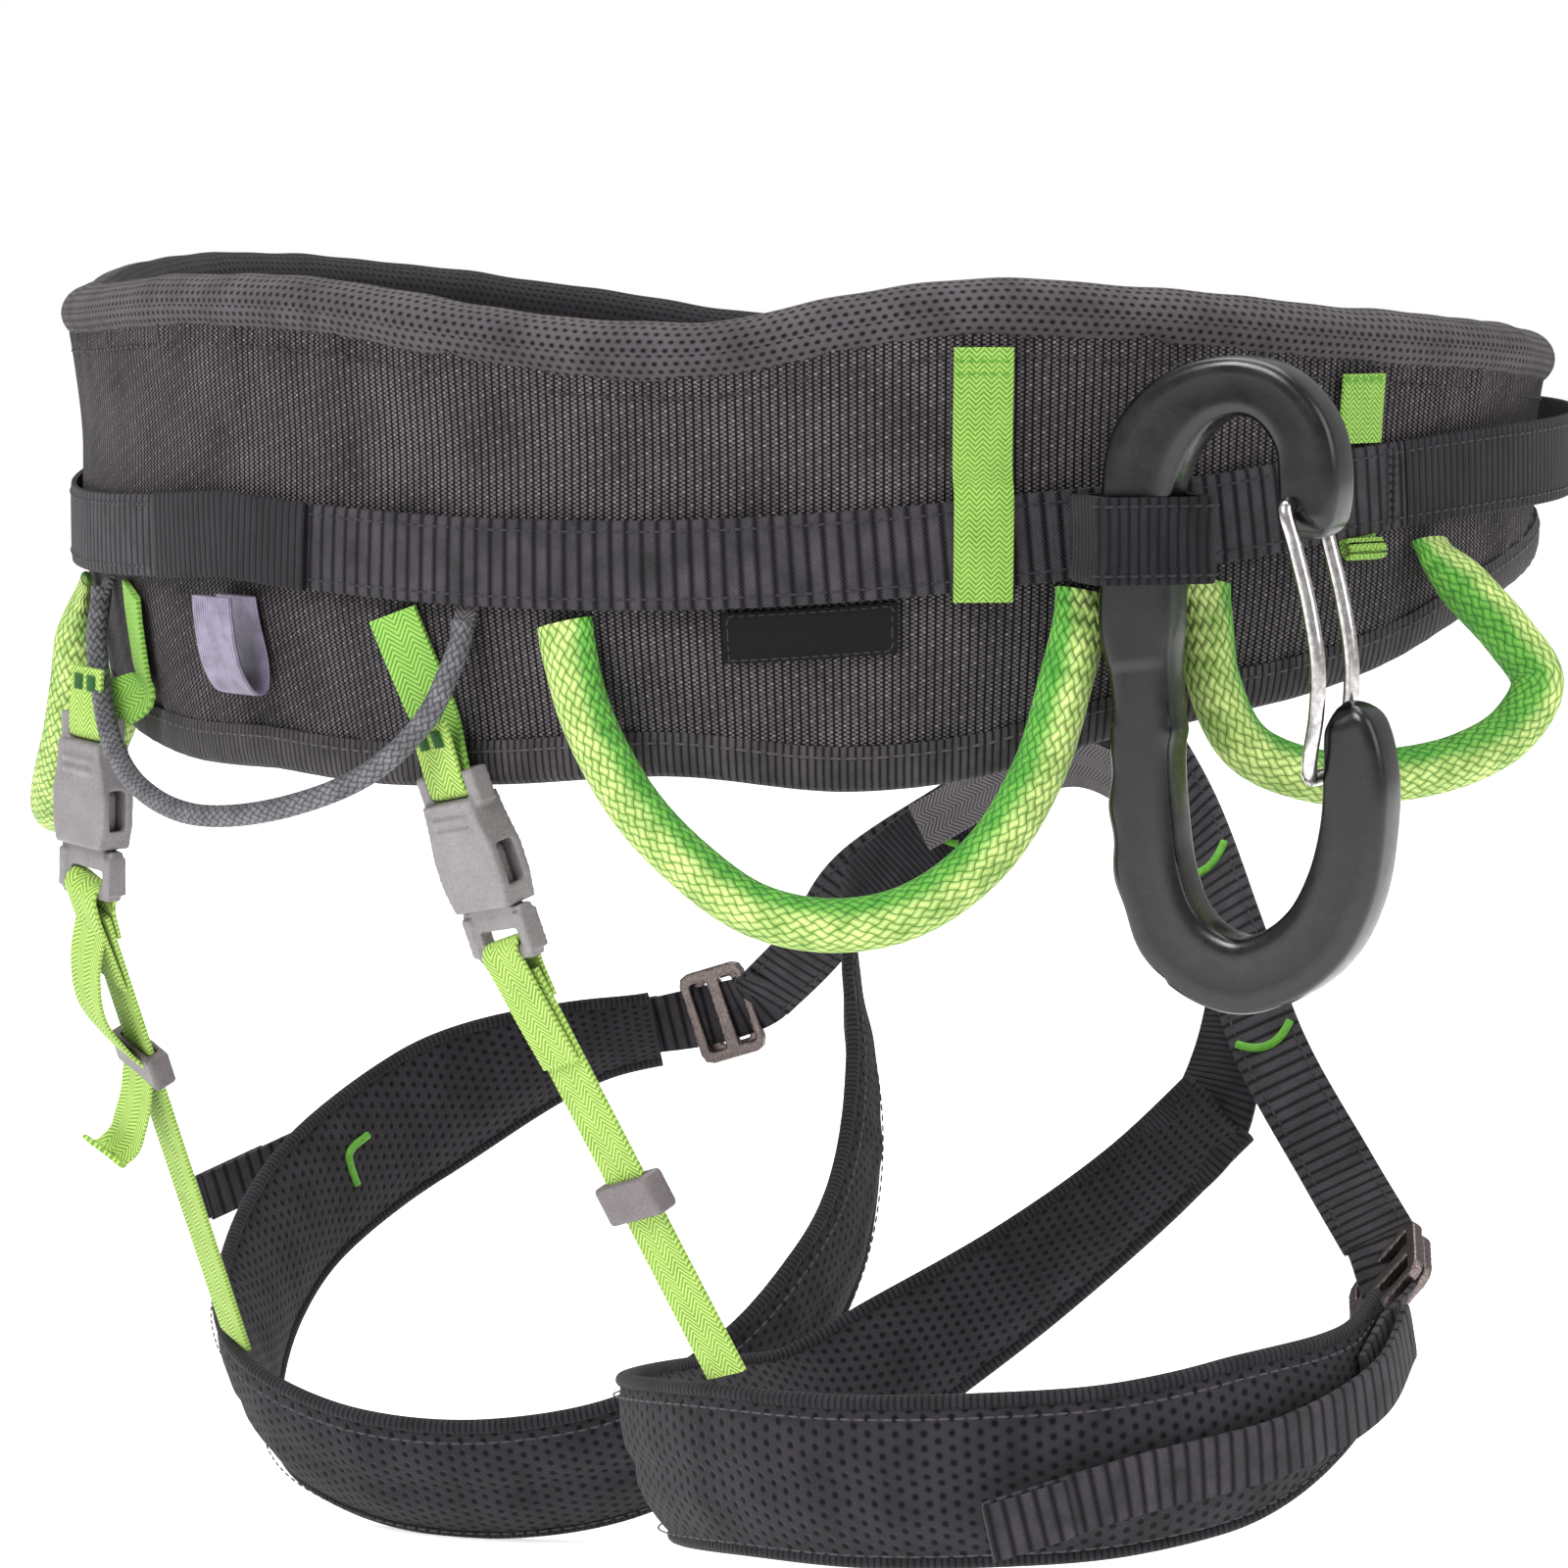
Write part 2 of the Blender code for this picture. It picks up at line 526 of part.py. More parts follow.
def riser_buckle(side):
    foot, across, out, down = riser_frame(side)
    axes = np.stack([across, down, out])
    start = BUCKLE_START + 2.5
    middle = foot + down * (start + HOUSING_LONG / 2)
    body = [(-8.5, 0), (8.5, 0), (9.5, 6), (11, 12), (11, 19), (9.5, 25), (-9.5, 25), (-11, 19), (-11, 12),
            (-9.5, 6)]
    edge = np.array(body) - (0, HOUSING_LONG / 2)
    low = middle + edge[:, :1] * across + edge[:, 1:] * down - out * BUCKLE_THICK / 2
    housing = sweep(f"buckle_housing_{side}", np.stack([low, low + out * BUCKLE_THICK]), "grey_plastic")
    pocket_at = foot + down * (start + 17.0)
    pocket = block(f"buckle_pocket_cutter_{side}", (16.4, 20.0, 4.4), pocket_at, axes, "grey_plastic")
    window_at = foot + down * (start + 15.6)
    windows = block(f"buckle_window_cutter_{side}", (26.0, 9.5, 4.4), window_at, axes, "grey_plastic")
    cut(housing, [pocket, windows])
    tongue_from = start + 9.0
    base_from = start + HOUSING_LONG + GAP
    base = base_from - start
    prong = [(-7.4, base), (-7.6, 12.6), (-6.0, 9.6), (-4.4, 10.4), (-4.4, 20), (-1.6, 20), (-1.4, 8.4), (1.4, 8.4),
             (1.6, 20), (4.4, 20), (4.4, 10.4), (6.0, 9.6), (7.6, 12.6), (7.4, base), (10.6, base),
             (11.0, base + 4), (9.6, base + PLUG_LONG), (-9.6, base + PLUG_LONG), (-11.0, base + 4), (-10.6, base)]
    slot = [(-6.6, base - 4.0, 6.6, base - 0.4)]
    plate(f"buckle_plug_{side}", np.array(prong) - (0, tongue_from - start), slot, 3.6, foot + down * tongue_from,
          axes, "grey_plastic", pivot=foot + down * base_from)


def riser_elastic(side):
    """Elastic strap from the plug's slot to the back of the leg loop, with its slider."""
    data = RISERS[side]
    foot, across, out, down = riser_frame(side, "elastic")
    start = 1.8
    length = np.linalg.norm(np.array(data["leg"]) - foot)
    path = foot + down * np.linspace(start, length, 8)[:, None]
    strip(f"elastic_strap_{side}", path, np.tile(out, (8, 1)), ELASTIC_WIDE, 1.5, "green_webbing",
          pivot=np.array(data["leg"]))
    middle = foot + down * (start + data["slider"])
    axes = np.stack([across, down, out])
    size = (19.0, 9.5, 6.0)
    slider = block(f"strap_slider_{side}", size, middle, axes, "dark_plastic", middle, bevel=1.0)
    passage = (ELASTIC_WIDE + 1.2, 20.0, 2.8)
    slot = block(f"slider_slot_cutter_{side}", passage, middle, axes, "dark_plastic")
    cut(slider, [slot])


# ---- leg loops ------------------------------------------------------------------------

TIE_IN = np.array([0.0, -112.0, -55.0])
RING_TALL, RING_DEEP = 23.0, 12.0    # half sizes of the tie-in loops
WAIST_RING_SHIFT = np.array([0.0, 0.0, -5.0])
LEG_RING_SHIFT = np.array([0.0, 0.0, 5.0])
CROSS_STRAP = [(46, -83, -92), (22, -92, -78), (0, -95, -72), (-22, -94, -77), (-44, -87, -91)]
LEGS = {
    "left": {
        "web": [(14.5, -108, -65), (36, -96, -84), (67, -81, -107), (94, -88, -128), (119, -90, -146)],
        "pad": [(147, -75, -156.5), (159, -61, -160), (169, -41, -167), (175, -19, -176), (175, 4, -186),
                (169, 28, -197), (161, 45, -208), (148, 61, -220), (128, 76, -230), (103, 84, -237),
                (68, 79, -243), (38, 61, -243), (16, 36, -236), (7, 10, -221), (10, -14, -204),
                (19, -33, -190), (31, -49, -173), (45, -62, -154), (57, -69, -133), (64, -73, -113)],
        "centre": (92, 1, -190),
        "buckle": (131, -86, -151),
        "buckle_face": (0.6, -0.8, 0.0),
        "facing": [(0.2, -1, 0), (0.6, -0.9, 0), (0.8, -0.6, 0), (0.9, -0.5, 0)],
        "tail_end": (197, 42, -197),
    },
    "right": {
        "web": [(-14.5, -109, -65), (-38, -100, -83), (-69, -83, -108), (-94, -72, -133),
                (-125, -63, -157), (-150, -51, -169)],
        "pad": [(-173, -28, -184), (-181, -8, -192), (-182, 20, -199), (-172, 52, -204), (-154, 76, -206),
                (-129, 94, -208), (-96, 102, -210), (-63, 95, -215), (-36, 73, -221), (-20, 42, -225),
                (-16, 9, -226), (-23, -16, -213), (-39, -41, -194), (-63, -57, -170), (-84, -65, -148)],
        "centre": (-97, 14, -190),
        "buckle": (-161, -42, -176),
        "buckle_face": (-0.35, -0.75, -0.45),
        "facing": [(-0.1, -1, -0.1), (0.1, -0.8, -0.5), (0.28, -0.63, -0.72), (0.28, -0.63, -0.72)],
        "tail_end": (-164, 85, -214),
    },
}


def leg_loop(side):
    data = LEGS[side]
    centre = np.array(data["centre"], float)
    path = smooth_path(data["pad"], 40)
    along_pad = np.linspace(0, 1, 40)
    wide = PAD_WIDE * (0.55 + 0.45 * ease(along_pad / 0.14) * ease((1 - along_pad) / 0.42))
    thick = PAD_THICK * (0.45 + 0.55 * ease(along_pad / 0.08) * ease((1 - along_pad) / 0.14))
    strip(f"leg_pad_{side}", path, path - centre, wide, thick, "spacer_mesh", "pad", 10)
    path = smooth_path(data["web"], 22)
    strip(f"leg_webbing_{side}", path, spread(data["facing"], 22), LEG_WEB_WIDE, 2.0, "black_webbing")


def leg_buckle(side):
    """Double-back buckle: a fixed frame, and a plate that tilts on its lower bar."""
    data = LEGS[side]
    middle = np.array(data["buckle"], float)
    start = np.array(data["web"][-1], float)
    end = np.array(data["pad"][0], float)
    down = unit(end - start)
    out = np.array(data["buckle_face"])
    across = unit(np.cross(down, out))
    out = np.cross(across, down)
    axes = np.stack([across, down, out])
    slots = [(-9.8, -7.6, 9.8, -2.2), (-9.8, 1.6, 9.8, 7.0)]
    plate(f"leg_buckle_frame_{side}", rounded_box(13.0, 9.8, 3.0), slots, 2.6, middle, axes, "bronze_alloy")
    lift = middle + out * 3.2 + down * 0.5
    hinge = lift + down * 8.5
    slot = [(-9.0, -5.2, 9.0, 3.6)]
    plate(f"leg_buckle_plate_{side}", rounded_box(12.0, 8.5, 3.0), slot, 2.4, lift, axes, "bronze_alloy",
          pivot=hinge)
    tail = []
    for lift, point in zip((6.6, 8.4, 8.6, 9.0), data["pad"][:4]):
        away = unit(np.array(point) - np.array(data["centre"]))
        tail.append(np.array(point) + away * lift)
    tail = smooth_path([*tail, data["tail_end"]], 14)
    strip(f"leg_tail_{side}", tail, tail - data["centre"], 14.0, 1.8, "black_webbing")


# ---- front: tie-in loops, belay loop and waist buckle ----------------------------------

def ring_strap(name, middle, tall, deep, wide, thick, across, look):
    """Closed webbing ring, an upright oval of half sizes tall and deep, the band wide across."""
    a = np.linspace(0, 2 * np.pi, 24, endpoint=False)
    flat = np.stack([0 * a, np.sin(a), np.cos(a)], 1)
    path = middle + flat * (1, deep, tall)
    return strip(name, path, flat * (1, tall, deep), wide, thick, look, closed=True)


def front():
    """Tie-in loops round the front strap and the leg bridge, and the belay loop between them."""
    across = np.array([1.0, 0.0, 0.0])
    strap = ring(np.array([180.0]), np.array([front_bulge(180.0) + 1.8]), web(180.0))[0]
    ring_strap("waist_tie_in_loop", strap + WAIST_RING_SHIFT, RING_TALL, RING_DEEP, 14.0, 2.4, across,
               "black_webbing")
    block("leg_bridge", (16.6, 2.0, LEG_WEB_WIDE), TIE_IN, np.eye(3), "black_webbing")
    ring_strap("leg_tie_in_loop", TIE_IN + LEG_RING_SHIFT, RING_TALL, RING_DEEP, 14.0, 2.4, across,
               "black_webbing")
    high = strap + (0.0, -2.0, -16.8)
    low = TIE_IN + (0.0, 2.0, 16.8)
    middle = (high + low) / 2
    span = high - low
    a = np.linspace(0, 2 * np.pi, 32, endpoint=False)
    reach = np.linalg.norm(span) / 2
    path = middle + np.cos(a)[:, None] * unit(span) * reach + np.sin(a)[:, None] * across * 15.0
    strip("belay_loop", path, path - middle, 10.0, 4.0, "black_webbing", closed=True, pivot=middle)
    strip("leg_cross_strap", smooth_path(CROSS_STRAP, 12), np.tile((0.0, -1.0, 0.2), (12, 1)), 13.0, 1.6,
          "grey_webbing")


def waist_buckle():
    t = np.array([-BUCKLE_ANGLE])
    stand = front_bulge(t) + 2.0
    middle = ring(t, stand, web(t))[0]
    ahead = ring(t - 0.1, stand, web(t))[0]
    run = unit(ahead - middle)
    out = -unit(np.cross(run, (0.0, 0.0, 1.0)))
    axes = np.stack([(0.0, 0.0, 1.0), run, out])
    slots = [(-10.6, -9.2, 10.6, -3.0), (-10.6, 3.0, 10.6, 9.2)]
    plate("waist_buckle_frame", rounded_box(14.0, 12.4, 3.0), slots, 2.8, middle, axes, "bronze_alloy")
    lift = middle + out * 3.4
    plate("waist_buckle_plate", rounded_box(13.0, 9.0, 3.0), [(-10.0, -5.0, 10.0, 5.0)], 2.4, lift, axes,
          "bronze_alloy", pivot=lift - run * 9.0)


def main():
    for existing in list(bpy.data.objects):
        bpy.data.objects.remove(existing, do_unlink=True)
    waist_belt()
    waist_straps()
    keepers()
    label_and_tab()
    gear_loops()
    haul_cord()
    tool_sleeve()
    tool_holder()
    for side in ("right", "left"):
        riser_webbing(side)
        riser_buckle(side)
        riser_elastic(side)
        leg_loop(side)
        leg_buckle(side)
    front()
    waist_buckle()


main()
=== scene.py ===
"""Tree climbing saddle: finished fabrics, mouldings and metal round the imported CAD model.

Sizes here are millimetres in the wearer's frame (+X the wearer's left, -Y the front, +Z up)
and turn to metres as each mesh is made. Places on the belt are an angle round the waist,
0 at the spine and rising towards the wearer's right, and a distance out from the waist ring.
"""

import json

import bmesh
import bpy
import numpy as np
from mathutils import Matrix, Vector


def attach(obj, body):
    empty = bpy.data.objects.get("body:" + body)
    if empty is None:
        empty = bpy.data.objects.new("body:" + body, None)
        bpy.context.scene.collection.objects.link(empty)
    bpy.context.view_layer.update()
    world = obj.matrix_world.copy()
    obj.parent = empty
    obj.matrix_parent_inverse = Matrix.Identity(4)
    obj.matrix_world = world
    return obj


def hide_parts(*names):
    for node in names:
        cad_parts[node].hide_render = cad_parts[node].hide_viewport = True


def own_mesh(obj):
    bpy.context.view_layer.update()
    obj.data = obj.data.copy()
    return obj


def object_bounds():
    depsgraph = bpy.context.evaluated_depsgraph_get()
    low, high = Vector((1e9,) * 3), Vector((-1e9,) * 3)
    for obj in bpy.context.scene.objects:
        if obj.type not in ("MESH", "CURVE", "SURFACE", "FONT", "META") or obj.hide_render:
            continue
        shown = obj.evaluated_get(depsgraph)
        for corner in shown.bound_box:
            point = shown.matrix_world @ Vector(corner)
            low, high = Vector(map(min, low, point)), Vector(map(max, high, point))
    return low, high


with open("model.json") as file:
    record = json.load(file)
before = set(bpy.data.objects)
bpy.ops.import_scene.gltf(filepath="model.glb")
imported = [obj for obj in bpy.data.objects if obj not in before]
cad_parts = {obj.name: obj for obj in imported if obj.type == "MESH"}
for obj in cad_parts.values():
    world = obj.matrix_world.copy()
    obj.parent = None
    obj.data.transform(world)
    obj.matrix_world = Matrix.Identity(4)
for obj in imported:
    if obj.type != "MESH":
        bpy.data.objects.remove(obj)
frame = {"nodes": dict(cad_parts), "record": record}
CAD_LOW, CAD_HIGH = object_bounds()
BODY = {node: body for body, nodes in frame["record"]["behaviour"]["bodies"].items() for node in nodes}

MM = 0.001
TAU = 2.0 * np.pi

# ---- driving dimensions ---------------------------------------------------------------

HALF_WIDTH, HALF_DEPTH = 191.0, 165.0
BELT_END = 156.0
SHELL_THICK, FOAM_THICK, LINING_THICK = 1.4, 8.6, 1.6
GAP = 0.35
ROLL_OUT, ROLL_HIGH = 8.2, 6.8
ROLL_TURN = 7.5             # mean radius of the roll, which turns length round it into an angle
ROLL_BACK = 6.0             # how far the roll's middle lies inside the belt's outer face
LINING_BELLY = 2.2          # how far the lining swells towards the wearer at mid height
BINDING_HIGH = 10.0
WEB_HALF, WEB_THICK = 9.6, 1.8
STRAP_END = 93.5
COVER_ENDS = (-9.0, 8.6)    # degrees from the spine
KEEPERS = (("rear", 58.3, 2.6), ("front", 88.8, 0.0))     # (place, angle, how far below the webbing)
KEEPER_WIDE, KEEPER_THICK = 12.8, 1.1
LABEL_ENDS, LABEL_LOW, LABEL_HIGH = (40.3, 52.5), 12.0, 1.0     # degrees; millimetres below the webbing
TAB_WIDE = 15.0
BELAY_WIDE, BELAY_THICK, BELAY_HALF = 10.0, 4.0, 15.0
RING_TALL, RING_DEEP, RING_WIDE, RING_THICK = 23.0, 12.0, 14.0, 2.4
TAIL_WIDE = 14.0
GEAR_RADIUS = 5.8
HAUL_RADIUS = 2.5
RISER_WIDE, ELASTIC_WIDE = 13.0, 12.0
PAD_WIDE, PAD_THICK = 40.0, 9.0
LEG_WEB_WIDE = 18.0
SLEEVE_ANGLE = 68.6
HOOK_YAW = np.radians(45.0)
SHAFT_OUT = 13.0
HOOK_DEEP = 12.6
BUCKLE_ANGLE = 150.0
GATE_RADIUS = 1.65
GRIP_TOP, GRIP_END = -44.0, -88.0           # finger grooves down the holder's back
GRIP_PITCH, GRIP_DEEP = 13.4, 0.9
WRISTS = ((-14.0, 0.55, 1.6), (-41.0, 0.6, 1.8))    # (height, rise, half length) of the shaft's two collars
RISER_ANGLE, RISER_FOOT = 15.6, 19.6
HOUSING_START, HOUSING_LONG = 4.5, 25.0    # the housing's first edge beyond the riser's foot, and its length
PLUG_START = HOUSING_START + HOUSING_LONG + GAP
FOLD_START = 3.2            # where the riser's webbing turns round the housing's bar
ELASTIC_START = 1.8
AMBIENT = 0.5              # light from all round, beside the softboxes
TIE_IN = np.array([0.0, -112.0, -55.0])
SIDES = (("right", 1), ("left", -1))

# (degrees from the spine, millimetres)
TOP_LINE = [(-160, 39), (-131.5, 42), (-115.5, 49), (-95.5, 56), (-76.5, 59), (-60.5, 57), (-44.5, 52),
            (-26.5, 52), (-4.5, 55), (9.5, 54), (21.5, 49), (32.5, 45.5), (40.5, 46), (48.5, 51),
            (56.5, 54.5), (67.5, 53.5), (85.5, 49), (106.5, 45), (122.5, 42), (160, 39)]
BOTTOM_LINE = [(0, -57), (11, -58), (22, -56), (35.5, -52.5), (49.5, -55), (58.5, -52), (67.5, -45),
               (77.5, -40), (86.5, -36), (95.5, -30), (103.5, -23), (120.5, -14), (155.5, -7)]
WEB_LINE = [(0, -3), (10.5, -5), (26.5, -6.5), (40.5, -5.5), (53.5, -2.5), (63.5, 0.5), (75.5, 3.5),
            (87.5, 8), (100.5, 11), (120.5, 13.5), (180, 15)]
# (angle, out, drop below the webbing)
REAR_LOOP = [(29.2, 1.9, -2.8), (29.7, 4.5, -9), (31.2, 9, -24), (34.6, 14, -42), (38.7, 17, -55),
             (43.2, 19, -65), (48.2, 19.5, -69), (53.3, 19, -67), (58.3, 17, -57), (62.1, 13, -40),
             (64.1, 8.5, -20), (65.2, 4.5, -8), (65.5, 1.9, -2.8)]
FRONT_LOOP = [(74.9, 1.9, -3.4), (74.6, 5, -10), (74.8, 10, -24), (77.0, 16, -39), (81.6, 22, -47),
              (86.7, 27, -49), (92.4, 31, -48), (96.6, 33, -43), (98.6, 32, -34), (98.2, 23, -24),
              (97.4, 12, -14), (96.9, 5, -7), (96.9, 1.9, -3.4)]
HAUL_LOOP = [(-21.6, 3.2, -3.2), (-21.6, 4.2, -7), (-21.0, 7.4, -14), (-19.2, 11, -25), (-15.2, 15.5, -37),
             (-8.5, 19.5, -46), (0.0, 21.5, -50), (8.5, 19.5, -46), (15.2, 15.5, -37), (19.2, 11, -25),
             (21.0, 7.4, -14), (21.6, 4.2, -7), (21.6, 3.2, -3.2)]
# (along, up, width) of the holder's spine, the sleeve's middle being (0, 0)
HOOK = [(38.1, -0.5, 11.5), (39.1, 10.7, 13.5), (37.5, 21, 13.2), (31.4, 28.4, 12.6), (23.9, 31, 12.4),
        (14.6, 29.4, 13.6), (6.7, 24, 16.5), (2, 17, 17.4), (0, 8, 16.2), (0, -5.8, 16.2), (0, -21.4, 16.6),
        (0.9, -29.2, 14), (1.8, -39, 13.6), (1.3, -48.8, 14.6), (1.8, -59.9, 15.4), (3.4, -72, 16),
        (7.1, -81.9, 16.4), (13.6, -88.7, 16.4), (23.2, -92, 16.2), (32.9, -89.3, 16), (41.6, -82.3, 16),
        (47, -72, 15.6), (49.5, -59.9, 14.6), (49.9, -49, 14), (48.6, -38.8, 11), (46.9, -33.5, 7)]
GATE = [(35.9, 7.0, 7.1), (36.0, 6.0, 8.7), (38.4, -2.0, 8.8), (41.6, -14.0, 8.8), (43.6, -26.0, 8.8),
        (43.4, -36.0, 8.8), (42.0, -45.0, 8.6), (41.0, -49.0, 6.0), (40.7, -49.6, 0.0)]
RISERS = {"right": {"sign": 1, "foot": (-62.5, 151.5, -54.5), "end": (-70.5, 140.5, -96.0),
                    "leg": (-99.5, 104.5, -187.5)},
          "left": {"sign": -1, "foot": (66.5, 160.5, -50.5), "end": (69.0, 160.0, -93.5),
                   "leg": (112.5, 90.5, -215.5)}}
# (down, out, across) from the far elastic's start: its loose strand, then its folded tail
SLACK = [(6, 2, 0), (18, 6, 2), (32, 7.5, 3), (44, 4.5, 1.5), (50, 2.2, 0), (58, 3.5, 1), (68, 6.5, 3.5),
         (76, 9.5, 7), (78, 13, 8.5), (74, 15.5, 6)]
CROSS_STRAP = [(46, -83, -92), (22, -92, -78), (0, -95, -72), (-22, -94, -77), (-44, -87, -91)]
LEGS = {
    "left": {
        "web": [(14.5, -108, -65), (36, -96, -84), (67, -81, -107), (94, -88, -128), (119, -90, -146)],
        "pad": [(147, -75, -156.5), (159, -61, -160), (169, -41, -167), (175, -19, -176), (175, 4, -186),
                (169, 28, -197), (161, 45, -208), (148, 61, -220), (128, 76, -230), (103, 84, -237),
                (68, 79, -243), (38, 61, -243), (16, 36, -236), (7, 10, -221), (10, -14, -204),
                (19, -33, -190), (31, -49, -173), (45, -62, -154), (57, -69, -133), (64, -73, -113)],
        "centre": (92, 1, -190),
        "arcs": (("front", 40), ("side", 84)),
        "buckle": (131, -86, -151),
        "buckle_face": (0.6, -0.8, 0.0),
        "facing": [(0.2, -1, 0), (0.6, -0.9, 0), (0.8, -0.6, 0), (0.9, -0.5, 0)],
        "tail_end": (197, 42, -197),
    },
    "right": {
        "web": [(-14.5, -109, -65), (-38, -100, -83), (-69, -83, -108), (-94, -72, -133), (-125, -63, -157),
                (-150, -51, -169)],
        "pad": [(-173, -28, -184), (-181, -8, -192), (-182, 20, -199), (-172, 52, -204), (-154, 76, -206),
                (-129, 94, -208), (-96, 102, -210), (-63, 95, -215), (-36, 73, -221), (-20, 42, -225),
                (-16, 9, -226), (-23, -16, -213), (-39, -41, -194), (-63, -57, -170), (-84, -65, -148)],
        "centre": (-97, 14, -190),
        "arcs": (("front", 34), ("side", 76)),
        "buckle": (-161, -42, -176),
        "buckle_face": (-0.35, -0.75, -0.45),
        "facing": [(-0.1, -1, -0.1), (0.1, -0.8, -0.5), (0.28, -0.63, -0.72), (0.28, -0.63, -0.72)],
        "tail_end": (-164, 85, -214),
    },
}

# ---- curves and places ----------------------------------------------------------------


def along(knots, t):
    """Cubic through (place, value) knots whose slope at a knot is that of its neighbours."""
    x, y = np.array(knots, float).T
    slope = np.gradient(y, x)
    t = np.clip(t, x[0], x[-1])
    i = np.clip(np.searchsorted(x, t) - 1, 0, len(x) - 2)
    h = x[i + 1] - x[i]
    s = (t - x[i]) / h
    rise = y[i] + (y[i + 1] - y[i]) * s * s * (3 - 2 * s)
    return rise + h * s * (1 - s) * (slope[i] * (1 - s) - slope[i + 1] * s)


def top(t):
    """Height of the belt's upper edge at angle t."""
    return along(TOP_LINE, t)


def bottom(t):
    """Height of the belt's lower edge at angle t."""
    return along(BOTTOM_LINE, np.abs(t))


def web(t):
    """Height of the waist webbing's middle at angle t."""
    return along(WEB_LINE, np.abs(t))


def ease(s):
    """Smooth step: 0 below 0, 1 above 1, level at both ends."""
    s = np.clip(s, 0.0, 1.0)
    return s * s * (3 - 2 * s)


def lean(z):
    """How far the belt's outer face stands out: it tucks in below the webbing."""
    return 2.0 * ease((z - 12.0) / 30.0) - 10.0 * ease((-z - 4.0) / 60.0)


def ring_normal(t):
    """Outward direction of the waist ellipse at angle t."""
    a = np.radians(t)
    flat = np.stack([-HALF_DEPTH * np.sin(a), HALF_WIDTH * np.cos(a), 0 * a], -1)
    return flat / np.linalg.norm(flat, axis=-1, keepdims=True)


def ring(t, out, z):
    """Ellipse of the waist at angle t, moved out along its normal and up to z."""
    a = np.radians(t)
    flat = np.stack([-HALF_WIDTH * np.sin(a), HALF_DEPTH * np.cos(a), 0 * a], -1)
    points = flat + ring_normal(t) * np.asarray(out)[..., None]
    points[..., 2] = z
    return points


def waist_length(t):
    """Millimetres round the waist from the spine to angle t."""
    fine = np.linspace(-200.0, 200.0, 2001)
    run = np.hypot(HALF_WIDTH * np.cos(np.radians(fine)), HALF_DEPTH * np.sin(np.radians(fine)))
    total = np.cumsum(run) * np.radians(fine[1] - fine[0])
    return np.interp(t, fine, total - np.interp(0.0, fine, total))


def unit(v):
    """Vectors scaled to length one."""
    v = np.asarray(v, float)
    return v / np.linalg.norm(v, axis=-1, keepdims=True)


def smooth_path(points, count):
    """Curve through given points, spread evenly by length."""
    p = np.array(points, float)
    mark = np.concatenate([[0], np.cumsum(np.linalg.norm(np.diff(p, axis=0), axis=1) ** 0.5)])
    fine = np.linspace(0, mark[-1], 1200)
    curve = np.stack([along(np.stack([mark, p[:, k]], 1), fine) for k in range(3)], 1)
    run = lengths(curve)
    wanted = np.linspace(0, run[-1], count)
    return np.stack([np.interp(wanted, run, curve[:, k]) for k in range(3)], 1)


def lengths(path, loop=False):
    """Distance from the first point to each point along a path."""
    steps = np.diff(np.vstack([path, path[:1]]) if loop else path, axis=0)
    return np.concatenate([[0], np.cumsum(np.linalg.norm(steps, axis=1))])


def frames(path, out, loop=False):
    """Tangent, side and outward directions along a path, from rough outward directions."""
    if loop:
        tangent = unit(np.roll(path, -1, 0) - np.roll(path, 1, 0))
    else:
        tangent = unit(np.gradient(path, axis=0))
    side = unit(np.cross(tangent, out))
    return tangent, side, np.cross(side, tangent)


def spread(values, count):
    """Given directions read evenly at count places."""
    values = np.array(values, float)
    wanted = np.linspace(0, len(values) - 1, count)
    return np.stack([np.interp(wanted, np.arange(len(values)), values[:, k]) for k in range(3)], 1)


def ripple(*waves):
    """Sum of sines, each given as (height, distance along, wavelength, phase)."""
    return sum(high * np.sin(TAU * run / span + phase) for high, run, span, phase in waves)


# ---- materials ------------------------------------------------------------------------


def linear(code):
    """Linear colour from an sRGB hex code."""
    rgb = np.array([int(code[i:i + 2], 16) for i in (0, 2, 4)]) / 255.0
    return (*np.where(rgb <= 0.04045, rgb / 12.92, ((rgb + 0.055) / 1.055) ** 2.4), 1.0)


def add(tree, kind, inputs=(), **settings):
    """Adds a node, sets its properties, and sets or links its inputs; gives its first output."""
    made = tree.nodes.new("ShaderNode" + kind)
    for key, value in settings.items():
        setattr(made, key, value)
    for key, value in dict(inputs).items():
        if isinstance(value, bpy.types.NodeSocket):
            tree.links.new(value, made.inputs[key])
        else:
            made.inputs[key].default_value = value
    return made.outputs[0]


def surface_look(name, roughness, metallic=0.0, **sockets):
    """A new material: its tree, its shader's inputs, and its thread coordinates in millimetres.

    Cloth is given little gloss; smooth plastic and metal keep the usual amount."""
    made = bpy.data.materials.new(name)
    made.use_nodes = True
    tree = made.node_tree
    shader = tree.nodes["Principled BSDF"].inputs
    shader["Roughness"].default_value = roughness
    shader["Metallic"].default_value = metallic
    shader["Specular IOR Level"].default_value = 0.5 if metallic or roughness < 0.45 else 0.15
    for key, value in sockets.items():
        shader[key.replace("_", " ")].default_value = value
    split = add(tree, "SeparateXYZ", {0: add(tree, "UVMap", uv_map="threads")}).node
    return made, tree, shader, split.outputs[0], split.outputs[1]


def tint(tree, factor, dark, light):
    """Colour that goes from dark to light with factor."""
    ramp = add(tree, "ValToRGB", {0: factor}).node
    ramp.color_ramp.elements[0].color = linear(dark)
    ramp.color_ramp.elements[1].color = linear(light)
    return ramp.outputs[0]


